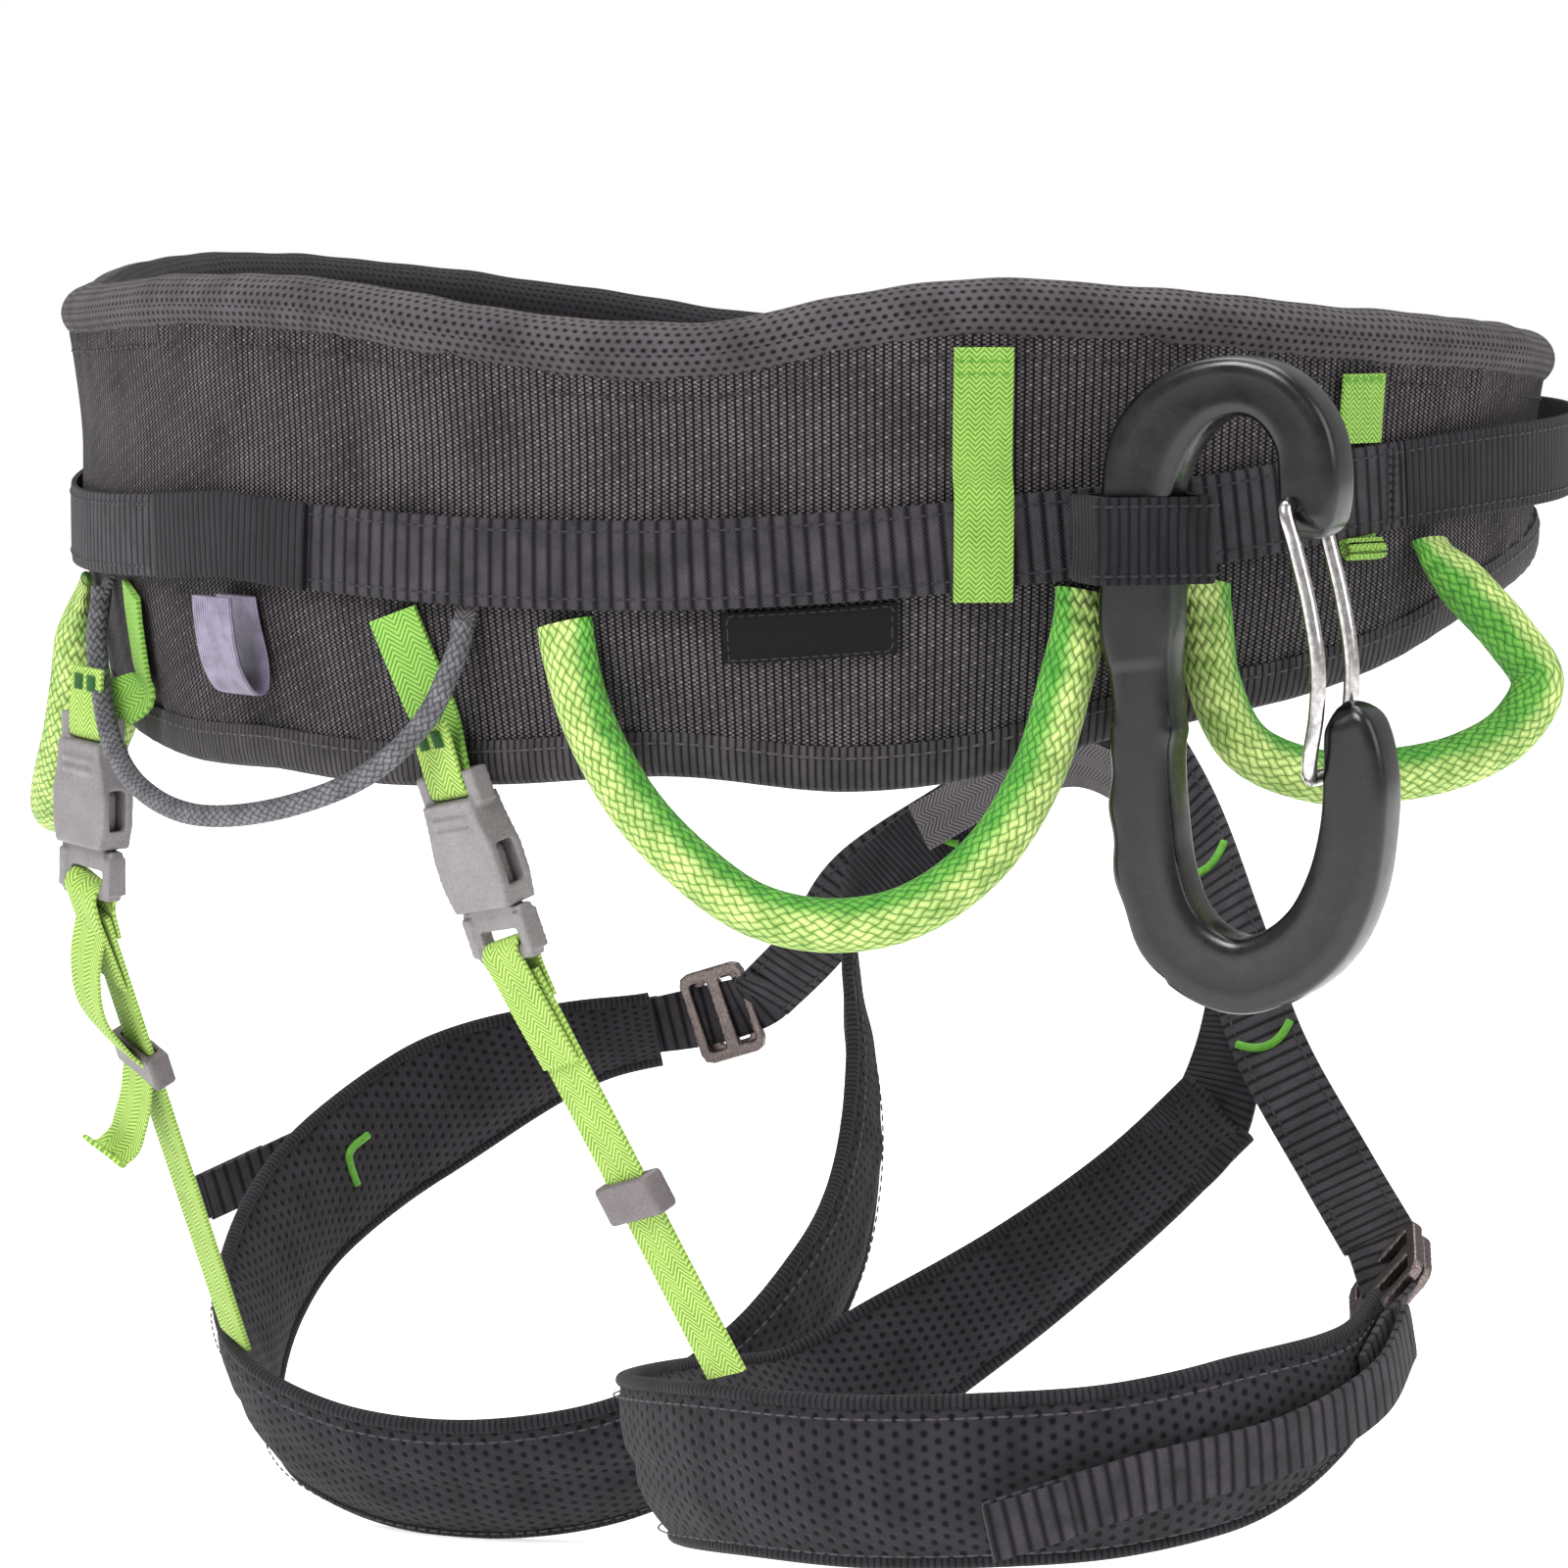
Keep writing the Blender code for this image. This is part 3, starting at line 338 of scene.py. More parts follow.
def mottled(tree, scale):
    """Soft uneven colour from dye and handling, scale in cells per metre."""
    where = add(tree, "TexCoord").node.outputs["Object"]
    return add(tree, "TexNoise", {"Vector": where, "Scale": scale, "Detail": 4.0, "Roughness": 0.6})


def relief(tree, shader, height, depth):
    """Bumps of a given depth in millimetres."""
    shader_normal = add(tree, "Bump", {"Height": height, "Distance": depth * MM, "Strength": 1.0})
    tree.links.new(shader_normal, shader["Normal"])


def shell_cloth():
    # Textured polyester pack cloth: paired columns of short floats 1.85 mm apart, with dark gaps between.
    made, tree, shader, u, v = surface_look("textured_polyester_cloth", 0.8)
    column = add(tree, "Math", {0: u, 1: 1 / 1.85}, operation="MULTIPLY")
    gap = add(tree, "Math", {0: column, 1: 0.5}, operation="PINGPONG")
    rib = add(tree, "MapRange", {0: gap, 1: 0.03, 2: 0.2}, interpolation_type="SMOOTHSTEP")
    twice = add(tree, "Math", {0: column, 1: 2.0}, operation="MULTIPLY")
    shift = add(tree, "Math", {0: twice}, operation="FLOOR")
    pick = add(tree, "Math", {0: v, 1: 1 / 0.95}, operation="MULTIPLY")
    pick = add(tree, "Math", {0: shift, 1: 0.5, 2: pick}, operation="MULTIPLY_ADD")
    dash = add(tree, "Math", {0: pick, 1: 0.5}, operation="PINGPONG")
    dash = add(tree, "MapRange", {0: dash, 1: 0.08, 2: 0.3})
    every = add(tree, "Math", {0: shift, 1: 7.0, 2: v}, operation="MULTIPLY_ADD")
    bright = add(tree, "Math", {0: every, 1: 5.5}, operation="PINGPONG")
    bright = add(tree, "MapRange", {0: bright, 1: 4.8, 2: 5.3})
    level = add(tree, "Math", {0: rib, 1: dash}, operation="MULTIPLY")
    shade = add(tree, "Math", {0: bright, 1: 0.5, 2: mottled(tree, 60.0)}, operation="MULTIPLY_ADD")
    shade = add(tree, "Math", {0: shade, 1: level}, operation="MULTIPLY")
    colour = tint(tree, add(tree, "MapRange", {0: shade, 1: 0.0, 2: 0.9}), "0B090A", "736D71")
    tree.links.new(colour, shader["Base Color"])
    relief(tree, shader, add(tree, "Math", {0: rib, 1: 0.6, 2: level}, operation="MULTIPLY_ADD"), 0.3)
    return made


def air_mesh(name, dark, light, pitch=2.3, inside=None):
    # Knitted polyester spacer mesh: rows of small round holes set half a pitch apart over a soft knit.
    made, tree, shader, u, v = surface_look(name, 0.85, Sheen_Weight=0.06)
    row = add(tree, "Math", {0: v, 1: 1 / (0.87 * pitch)}, operation="MULTIPLY")
    odd = add(tree, "Math", {0: add(tree, "Math", {0: row}, operation="FLOOR"), 1: 0.5}, operation="MULTIPLY")
    column = add(tree, "Math", {0: u, 1: 1 / pitch, 2: odd}, operation="MULTIPLY_ADD")
    in_column = add(tree, "Math", {0: column}, operation="FRACT")
    across = add(tree, "Math", {0: in_column, 1: 0.5}, operation="SUBTRACT")
    in_row = add(tree, "Math", {0: row}, operation="FRACT")
    upward = add(tree, "Math", {0: in_row, 1: 0.5}, operation="SUBTRACT")
    spot = add(tree, "CombineXYZ", {0: across, 1: upward})
    far = add(tree, "VectorMath", {0: spot}, operation="LENGTH").node.outputs["Value"]
    solid = add(tree, "MapRange", {0: far, 1: 0.16, 2: 0.34})
    stitch = {"Vector": add(tree, "UVMap", uv_map="threads"), "Scale": 1.1, "Distortion": 2.5, "Detail": 1.0}
    knit = add(tree, "TexWave", stitch, bands_direction="DIAGONAL").node.outputs["Fac"]
    level = add(tree, "Math", {0: knit, 1: 0.35, 2: mottled(tree, 90.0)}, operation="MULTIPLY_ADD")
    level = add(tree, "Math", {0: level, 1: solid}, operation="MULTIPLY")
    level = add(tree, "MapRange", {0: level, 1: 0.05, 2: 0.85})
    colour = tint(tree, level, dark, light)
    if inside:
        turn = add(tree, "Math", {0: add(tree, "Math", {0: v, 1: 1 / ROLL_TURN}, operation="MULTIPLY")},
                   operation="COSINE")
        facing_in = add(tree, "MapRange", {0: turn, 1: 0.05, 2: -0.05})
        colour = add(tree, "Mix", {0: facing_in, 6: colour, 7: tint(tree, level, *inside)},
                     data_type="RGBA").node.outputs[2]
    tree.links.new(colour, shader["Base Color"])
    high = add(tree, "Math", {0: knit, 1: 0.25, 2: solid}, operation="MULTIPLY_ADD")
    relief(tree, shader, high, 0.5)
    return made


def ribbed_webbing(name, dark, light, pitch, depth, rough=0.72):
    # Woven polyamide webbing: rounded ribs across its width and a fine warp along it, soft and matte.
    made, tree, shader, u, v = surface_look(name, rough, Sheen_Weight=0.05)
    rib = add(tree, "Math", {0: v, 1: pitch / 2}, operation="PINGPONG")
    rib = add(tree, "MapRange", {0: rib, 1: 0.0, 2: pitch / 3.2}, interpolation_type="SMOOTHSTEP")
    warp = add(tree, "Math", {0: u, 1: TAU / 0.95}, operation="MULTIPLY")
    warp = add(tree, "Math", {0: warp}, operation="SINE")
    weft = add(tree, "Math", {0: v, 1: TAU / 0.9}, operation="MULTIPLY")
    weft = add(tree, "Math", {0: weft}, operation="SINE")
    weave = add(tree, "Math", {0: warp, 1: weft}, operation="MULTIPLY")
    level = add(tree, "Math", {0: weave, 1: 0.16, 2: rib}, operation="MULTIPLY_ADD")
    shade = add(tree, "Math", {0: mottled(tree, 120.0), 1: level}, operation="MULTIPLY")
    colour = tint(tree, add(tree, "MapRange", {0: shade, 1: 0.0, 2: 0.75}), dark, light)
    tree.links.new(colour, shader["Base Color"])
    relief(tree, shader, level, depth)
    return made


def herringbone(name, dark, light, turn=3.0, pitch=1.3, depth=0.22):
    # Narrow twill tape: slanted ridges that change direction every few millimetres, like fishbones.
    made, tree, shader, u, v = surface_look(name, 0.68, Sheen_Weight=0.05)
    zigzag = add(tree, "Math", {0: u, 1: turn}, operation="PINGPONG")
    slant = add(tree, "Math", {0: zigzag, 1: v}, operation="ADD")
    ridge = add(tree, "Math", {0: slant, 1: pitch / 2}, operation="PINGPONG")
    ridge = add(tree, "MapRange", {0: ridge, 1: 0.0, 2: pitch / 2.4}, interpolation_type="SMOOTHSTEP")
    shade = add(tree, "Math", {0: mottled(tree, 150.0), 1: 0.7, 2: ridge}, operation="MULTIPLY_ADD")
    colour = tint(tree, add(tree, "MapRange", {0: shade, 1: 0.1, 2: 1.3}), dark, light)
    tree.links.new(colour, shader["Base Color"])
    relief(tree, shader, ridge, depth)
    return made


def braid(name, dark, light, shade_dark, shade_light, radius, strands, step):
    # Braided sheath: flat strands cross over and under each other; one side of the cord is painted in darker
    # colours as shade.
    made, tree, shader, u, v = surface_look(name, 0.62, Sheen_Weight=0.05)
    across = add(tree, "Math", {0: u, 1: strands / (TAU * radius)}, operation="MULTIPLY")
    forward = add(tree, "Math", {0: v, 1: 1 / step, 2: across}, operation="MULTIPLY_ADD")
    backward = add(tree, "Math", {0: v, 1: -1 / step, 2: across}, operation="MULTIPLY_ADD")
    cell = add(tree, "Math", {0: add(tree, "Math", {0: forward}, operation="FLOOR"),
                              1: add(tree, "Math", {0: backward}, operation="FLOOR")}, operation="ADD")
    over = add(tree, "Math", {0: cell, 1: 1.0}, operation="PINGPONG")
    one = add(tree, "Math", {0: add(tree, "Math", {0: forward, 1: 0.5}, operation="PINGPONG"), 1: 2.0},
              operation="MULTIPLY")
    two = add(tree, "Math", {0: add(tree, "Math", {0: backward, 1: 0.5}, operation="PINGPONG"), 1: 2.0},
              operation="MULTIPLY")
    strand = add(tree, "Mix", {0: over, 2: one, 3: two})
    high = add(tree, "Math", {0: strand, 1: 0.55}, operation="POWER")
    shade = add(tree, "Math", {0: mottled(tree, 160.0), 1: high}, operation="MULTIPLY")
    shade = add(tree, "MapRange", {0: shade, 1: 0.08, 2: 0.62})
    # painted shade: the colours darken along one side of the cord, picked by the angle round it
    turn = add(tree, "Math", {0: u, 1: 1 / radius}, operation="MULTIPLY")
    turn = add(tree, "Math", {0: turn}, operation="COSINE")
    shaded_side = add(tree, "MapRange", {0: turn, 1: -0.25, 2: -0.7})
    middle = tint(tree, shade, dark, light)
    edge = tint(tree, shade, shade_dark, shade_light)
    mixed = add(tree, "Mix", {0: shaded_side, 6: middle, 7: edge}, data_type="RGBA").node.outputs[2]
    tree.links.new(mixed, shader["Base Color"])
    relief(tree, shader, high, 0.55)
    return made


def thread_look(name, dark, light):
    # Bonded polyester sewing thread: a slight gloss, twisted, a little uneven in colour.
    made, tree, shader, _, _ = surface_look(name, 0.5, Sheen_Weight=0.1)
    tree.links.new(tint(tree, mottled(tree, 900.0), dark, light), shader["Base Color"])
    return made


def satin_tape():
    # Satin-woven polyester tape: long floats lie side by side and give soft, lengthwise gloss.
    made, tree, shader, u, v = surface_look("satin_polyester_tape", 0.42, Sheen_Weight=0.05)
    line = add(tree, "Math", {0: u, 1: 0.45}, operation="PINGPONG")
    shade = add(tree, "Math", {0: line, 1: mottled(tree, 220.0)}, operation="ADD")
    colour = tint(tree, add(tree, "MapRange", {0: shade, 1: 0.35, 2: 0.95}), "3F384A", "867E96")
    tree.links.new(colour, shader["Base Color"])
    relief(tree, shader, line, 0.1)
    return made


def woven_label_look():
    # Damask-woven label: very fine dense threads, almost smooth, with a faint sheen.
    made, tree, shader, u, v = surface_look("damask_woven_label", 0.6)
    warp = add(tree, "Math", {0: u, 1: 0.3}, operation="PINGPONG")
    weft = add(tree, "Math", {0: v, 1: 0.3}, operation="PINGPONG")
    level = add(tree, "Math", {0: warp, 1: weft}, operation="ADD")
    tree.links.new(tint(tree, add(tree, "MapRange", {0: level, 1: 0.0, 2: 0.6}), "010102", "0B090D"),
                   shader["Base Color"])
    relief(tree, shader, level, 0.08)
    return made


def moulded_plastic(name, dark, light, rough, grain, depth):
    # Injection-moulded plastic with a spark-eroded grain: satin, rubbed paler where it is handled.
    made, tree, shader, _, _ = surface_look(name, rough, Coat_Weight=0.08)
    where = add(tree, "TexCoord").node.outputs["Object"]
    spark = add(tree, "TexNoise", {"Vector": where, "Scale": 1000.0 / grain, "Detail": 2.0})
    shade = add(tree, "Math", {0: mottled(tree, 130.0), 1: 0.6, 2: spark}, operation="MULTIPLY_ADD")
    colour = tint(tree, add(tree, "MapRange", {0: shade, 1: 0.45, 2: 1.15}), dark, light)
    tree.links.new(colour, shader["Base Color"])
    handled = mottled(tree, 200.0)
    dull = add(tree, "MapRange", {0: handled, 1: 0.3, 2: 0.7, 3: rough - 0.07, 4: rough + 0.1})
    tree.links.new(dull, shader["Roughness"])
    relief(tree, shader, spark, depth)
    return made


def metal(name, dark, light, rough, grain, depth):
    # Solid metal with a fine finish: drawn lines and small rubs break up its reflections.
    made, tree, shader, _, _ = surface_look(name, rough, metallic=1.0)
    where = add(tree, "TexCoord").node.outputs["Object"]
    drawn = add(tree, "TexNoise", {"Vector": where, "Scale": 1000.0 / grain, "Detail": 5.0})
    colour = tint(tree, add(tree, "MapRange", {0: drawn, 1: 0.3, 2: 0.75}), dark, light)
    tree.links.new(colour, shader["Base Color"])
    rubs = mottled(tree, 240.0)
    rubbed = add(tree, "MapRange", {0: rubs, 1: 0.3, 2: 0.75, 3: rough - 0.06, 4: rough + 0.12})
    tree.links.new(rubbed, shader["Roughness"])
    relief(tree, shader, drawn, depth)
    return made


def foam_look():
    # Closed-cell polyethylene foam: charcoal, matte, fine round cells.
    made, tree, shader, _, _ = surface_look("closed_cell_foam", 0.9)
    where = add(tree, "TexCoord").node.outputs["Object"]
    cells = add(tree, "TexVoronoi", {"Vector": where, "Scale": 1000.0 / 0.9}).node.outputs["Distance"]
    tree.links.new(tint(tree, cells, "1E1E20", "3C3B3E"), shader["Base Color"])
    relief(tree, shader, cells, 0.15)
    return made


LOOK = {
    "shell": shell_cloth(),
    "roll": air_mesh("grey_spacer_mesh", "0E0C0E", "575256", inside=("040304", "242126")),
    "lining": air_mesh("black_spacer_mesh", "040304", "242126", 2.6),
    "pad": air_mesh("charcoal_spacer_mesh", "070608", "343136", 3.4),
    "webbing": ribbed_webbing("ribbed_polyamide_webbing", "040304", "433F45", 3.6, 0.5),
    "plain_web": ribbed_webbing("smooth_polyamide_webbing", "070608", "29262B", 2.2, 0.22),
    "binding": ribbed_webbing("ribbed_binding_tape", "0C090B", "4C484B", 1.8, 0.3),
    "edging": ribbed_webbing("pad_edging_tape", "070608", "302D32", 1.5, 0.2),
    "green": herringbone("green_twill_webbing", "4F7A22", "ADCB68"),
    "deep_green": herringbone("deep_green_twill_webbing", "277A22", "94BE58"),
    "keeper": herringbone("green_knitted_elastic", "3E7018", "96BE5A", 1.6, 1.1, 0.25),
    "grey_strap": herringbone("grey_twill_strap", "1D1B1D", "625E61"),
    # the third and fourth colours of each braid are painted shade for one side of the cord
    "loop": braid("green_braided_sheath", "4A7F24", "D2E48E", "1E7422", "76B44C", GEAR_RADIUS, 16, 3.6),
    "haul": braid("grey_braided_cord", "37373B", "7C7B80", "2C2C30", "6E6D72", HAUL_RADIUS, 8, 2.6),
    "thread": thread_look("charcoal_thread", "0E0C0F", "38353A"),
    "pale_thread": thread_look("grey_thread", "2A272B", "5A565B"),
    "green_thread": thread_look("green_thread", "2F6B16", "6FB040"),
    "dark_green_thread": thread_look("dark_green_thread", "123F12", "2F6B2D"),
    "satin": satin_tape(),
    "label": woven_label_look(),
    "buckle": moulded_plastic("grey_acetal_moulding", "625C5E", "848081", 0.42, 0.5, 0.03),
    "slider": moulded_plastic("dark_grey_acetal_moulding", "4C4446", "6E6668", 0.42, 0.5, 0.03),
    "nylon": moulded_plastic("black_glass_filled_nylon", "020202", "080707", 0.25, 0.7, 0.015),
    "steel": metal("polished_stainless_wire", "A9A4A4", "E2DFDE", 0.16, 1.4, 0.01),
    "alloy": metal("bronze_anodised_aluminium", "5E5452", "8E8281", 0.32, 0.6, 0.02),
    "foam": foam_look(),
}


# ---- meshes ---------------------------------------------------------------------------


def place(name, mesh, look, nodes=(), body=None):
    """Puts a mesh in the scene on the body of the nodes it stands for."""
    made = bpy.data.objects.new(name, mesh)
    bpy.context.collection.objects.link(made)
    mesh.materials.clear()
    mesh.materials.append(LOOK[look])
    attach(made, body or BODY[nodes[0]])
    if nodes:
        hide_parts(*nodes)
    return made


def surface(name, grid, uv, look, nodes=(), body=None, loop=False, sharp=50.0):
    """Closed skin over rows of points; rows close on themselves, and the ends are capped or joined."""
    rows, cols = grid.shape[:2]
    i, j = np.meshgrid(np.arange(rows if loop else rows - 1), np.arange(cols), indexing="ij")
    around = [(i, j), (i, j + 1), (i + 1, j + 1), (i + 1, j)]
    faces = np.stack([(a % rows) * cols + b % cols for a, b in around], -1).reshape(-1, 4).tolist()
    corners = np.stack([uv[a, b] for a, b in around], -2).reshape(-1, 2)
    if not loop:
        faces += [list(range(cols))[::-1], list(range((rows - 1) * cols, rows * cols))]
        corners = np.vstack([corners, uv[0, :cols][::-1], uv[-1, :cols]])
    mesh = bpy.data.meshes.new(name)
    mesh.from_pydata((grid.reshape(-1, 3) * MM).tolist(), [], faces)
    mesh.uv_layers.new(name="threads").data.foreach_set("uv", corners.astype(np.float32).ravel())
    shape = bmesh.new()
    shape.from_mesh(mesh)
    if shape.calc_volume(signed=True) < 0:
        bmesh.ops.reverse_faces(shape, faces=shape.faces)
    shape.to_mesh(mesh)
    shape.free()
    mesh.shade_smooth()
    mesh.set_sharp_from_angle(angle=np.radians(sharp))
    return place(name, mesh, look, nodes, body)


def swept(path, out, outline, loop=False, scale=1.0):
    """Outline (points across and out, millimetres) carried along a path, scaled at each point."""
    _, side, up = frames(path, out, loop)
    size = np.broadcast_to(np.asarray(scale, float), (len(path), 2))
    grid = path[:, None] + side[:, None] * outline[None, :, :1] * size[:, None, :1]
    grid = grid + up[:, None] * outline[None, :, 1:] * size[:, None, 1:]
    return grid, lengths(path, loop)


def tape(name, path, out, wide, thick, look, nodes=(), body=None, loop=False, columns=9):
    """Woven tape: a flat section that thins to soft selvedges, carried along a path."""
    x = np.linspace(-0.97, 0.97, columns)
    half = 0.5 * (1.0 - 0.3 * np.abs(x) ** 6)
    face, back = np.stack([x, half], 1), np.stack([x[::-1], -half], 1)
    outline = np.concatenate([face, [(1.0, 0.0)], back, [(-1.0, 0.0)]])
    size = np.stack([np.broadcast_to(wide, len(path)) / 2.0, np.broadcast_to(thick, len(path))], 1)
    grid, run = swept(path, out, outline, loop, size)
    u = np.append(outline[:, 0], outline[0, 0]) * np.mean(wide) / 2.0
    uv = np.stack(np.meshgrid(u, run), -1)
    return surface(name, grid, uv, look, nodes, body, loop)


def tube(name, path, out, radius, look, nodes=(), body=None, sides=20, scale=1.0, loop=False):
    """Round section carried along a path; scale squashes it (across, out) at each point."""
    a = np.linspace(0, TAU, sides, endpoint=False)
    outline = radius * np.stack([np.cos(a), np.sin(a)], 1)
    grid, run = swept(path, out, outline, loop, scale)
    uv = np.stack(np.meshgrid(np.linspace(0, TAU * radius, sides + 1), run), -1)
    return surface(name, grid, uv, look, nodes, body, loop)


def belt_layer(name, t, low, high, lift, thick, look, nodes=(), rows=26, edge=0.08):
    """Layer on the belt: up its outer face from low to high, and back down its inner face."""
    level = np.linspace(0, 1, rows)[None]
    z = low[:, None] + (high - low)[:, None] * level
    angle = np.broadcast_to(t[:, None], z.shape)
    soft = 0.4 + 0.6 * ease(np.minimum(level, 1 - level) / edge)
    out = lift(angle, z)
    outer = ring(angle, out - 0.5 * thick * (1 - soft), z)
    inner = ring(angle, out - thick * (0.5 + 0.5 * soft), z)[:, ::-1]
    run = np.broadcast_to(waist_length(t)[:, None], z.shape)
    uv = np.stack([np.hstack([run, run, run[:, :1]]), np.hstack([z, z[:, ::-1], z[:, :1]])], -1)
    return surface(name, np.hstack([outer, inner]), uv, look, nodes, "harness")


def stitches(name, lines, look, body="harness", pitch=3.0, wide=0.6):
    """Rows of sewing: on each (path, out) line a small capsule of thread every pitch, half sunk."""
    a = np.linspace(0, TAU, 6, endpoint=False)
    reach = np.array([-1.0, -0.72, 0.0, 0.72, 1.0]) * pitch * 0.38
    fat = np.array([0.2, 0.8, 1.0, 0.8, 0.2]) * wide / 2
    across, upward = fat[:, None] * np.cos(a), fat[:, None] * np.sin(a)
    base = np.stack(np.broadcast_arrays(reach[:, None], across, upward), -1)
    groups = []
    for path, out in lines:
        run = lengths(path)
        at = np.arange(pitch / 2, run[-1], pitch)
        centre = np.stack([np.interp(at, run, path[:, k]) for k in range(3)], 1)
        facing = np.stack([np.interp(at, run, np.broadcast_to(out, path.shape)[:, k]) for k in range(3)], 1)
        axes = np.stack(frames(centre, facing), 1)
        groups.append(centre[:, None] + base.reshape(1, -1, 3) @ axes)
    points = np.concatenate(groups)
    rows, sides = base.shape[:2]
    i, j = np.meshgrid(np.arange(rows - 1), np.arange(sides), indexing="ij")
    quads = np.stack([i * sides + j, i * sides + (j + 1) % sides, (i + 1) * sides + (j + 1) % sides,
                      (i + 1) * sides + j], -1).reshape(-1, 4)
    caps = np.array([(0, 1, 2, 3), (0, 3, 4, 5)])
    caps = np.vstack([caps[:, ::-1], caps + (rows - 1) * sides])
    first = np.arange(len(points)) * rows * sides
    faces = (np.vstack([quads, caps])[None] + first[:, None, None]).reshape(-1, 4)
    mesh = bpy.data.meshes.new(name)
    mesh.from_pydata((points.reshape(-1, 3) * MM).tolist(), [], faces.tolist())
    mesh.uv_layers.new(name="threads")
    shape = bmesh.new()
    shape.from_mesh(mesh)
    bmesh.ops.recalc_face_normals(shape, faces=shape.faces)
    shape.to_mesh(mesh)
    shape.free()
    mesh.shade_smooth()
    return place(name, mesh, look, body=body)


def bar_tack(name, centre, along_dir, out, long, wide, look, body="harness", rows=9):
    """Bar tack: close rows of thread laid across a short seam."""
    along_dir, out = unit(along_dir), unit(out)
    across = np.cross(out, along_dir)
    lines = []
    for x in np.linspace(-0.5, 0.5, rows) * long:
        ends = np.array(centre) + along_dir * x + across * np.linspace(-0.5, 0.5, 4)[:, None] * wide
        lines.append((ends, out))
    return stitches(name, lines, look, body, pitch=wide / 2.0, wide=long / rows * 1.25)


def moulding(name, node, look, extra=(), voxel=0.4, rounds=5):
    """Soft-edged moulding: the node's solid and extra boxes joined, remeshed finely and smoothed."""
    source = frame["nodes"][node]
    shape = bmesh.new()
    shape.from_mesh(source.data)
    bmesh.ops.remove_doubles(shape, verts=shape.verts, dist=0.00002)
    for size, centre, axes in extra:
        corners = np.array([(x, y, z) for x in (-1, 1) for y in (-1, 1) for z in (-1, 1)], float) / 2
        points = (np.asarray(centre) + (corners * size) @ np.asarray(axes)) * MM
        verts = [shape.verts.new(p) for p in points]
        made = [shape.faces.new([verts[k] for k in quad]) for quad in
                ((0, 1, 3, 2), (4, 6, 7, 5), (0, 4, 5, 1), (2, 3, 7, 6), (0, 2, 6, 4), (1, 5, 7, 3))]
        bmesh.ops.recalc_face_normals(shape, faces=made)
    mesh = bpy.data.meshes.new(name)
    shape.to_mesh(mesh)
    shape.free()
    rough = bpy.data.objects.new(name + "_rough", mesh)
    bpy.context.collection.objects.link(rough)
    remesh = rough.modifiers.new("Even skin", "REMESH")
    remesh.mode = "VOXEL"
    remesh.voxel_size = voxel * MM
    smooth = rough.modifiers.new("Round edges", "SMOOTH")
    smooth.iterations = rounds
    smooth.factor = 0.5
    graph = bpy.context.evaluated_depsgraph_get()
    final = bpy.data.meshes.new_from_object(rough.evaluated_get(graph))
    bpy.data.objects.remove(rough)
    final.name = name
    final.shade_smooth()
    return place(name, final, look, (node,))


# ---- waist belt -----------------------------------------------------------------------


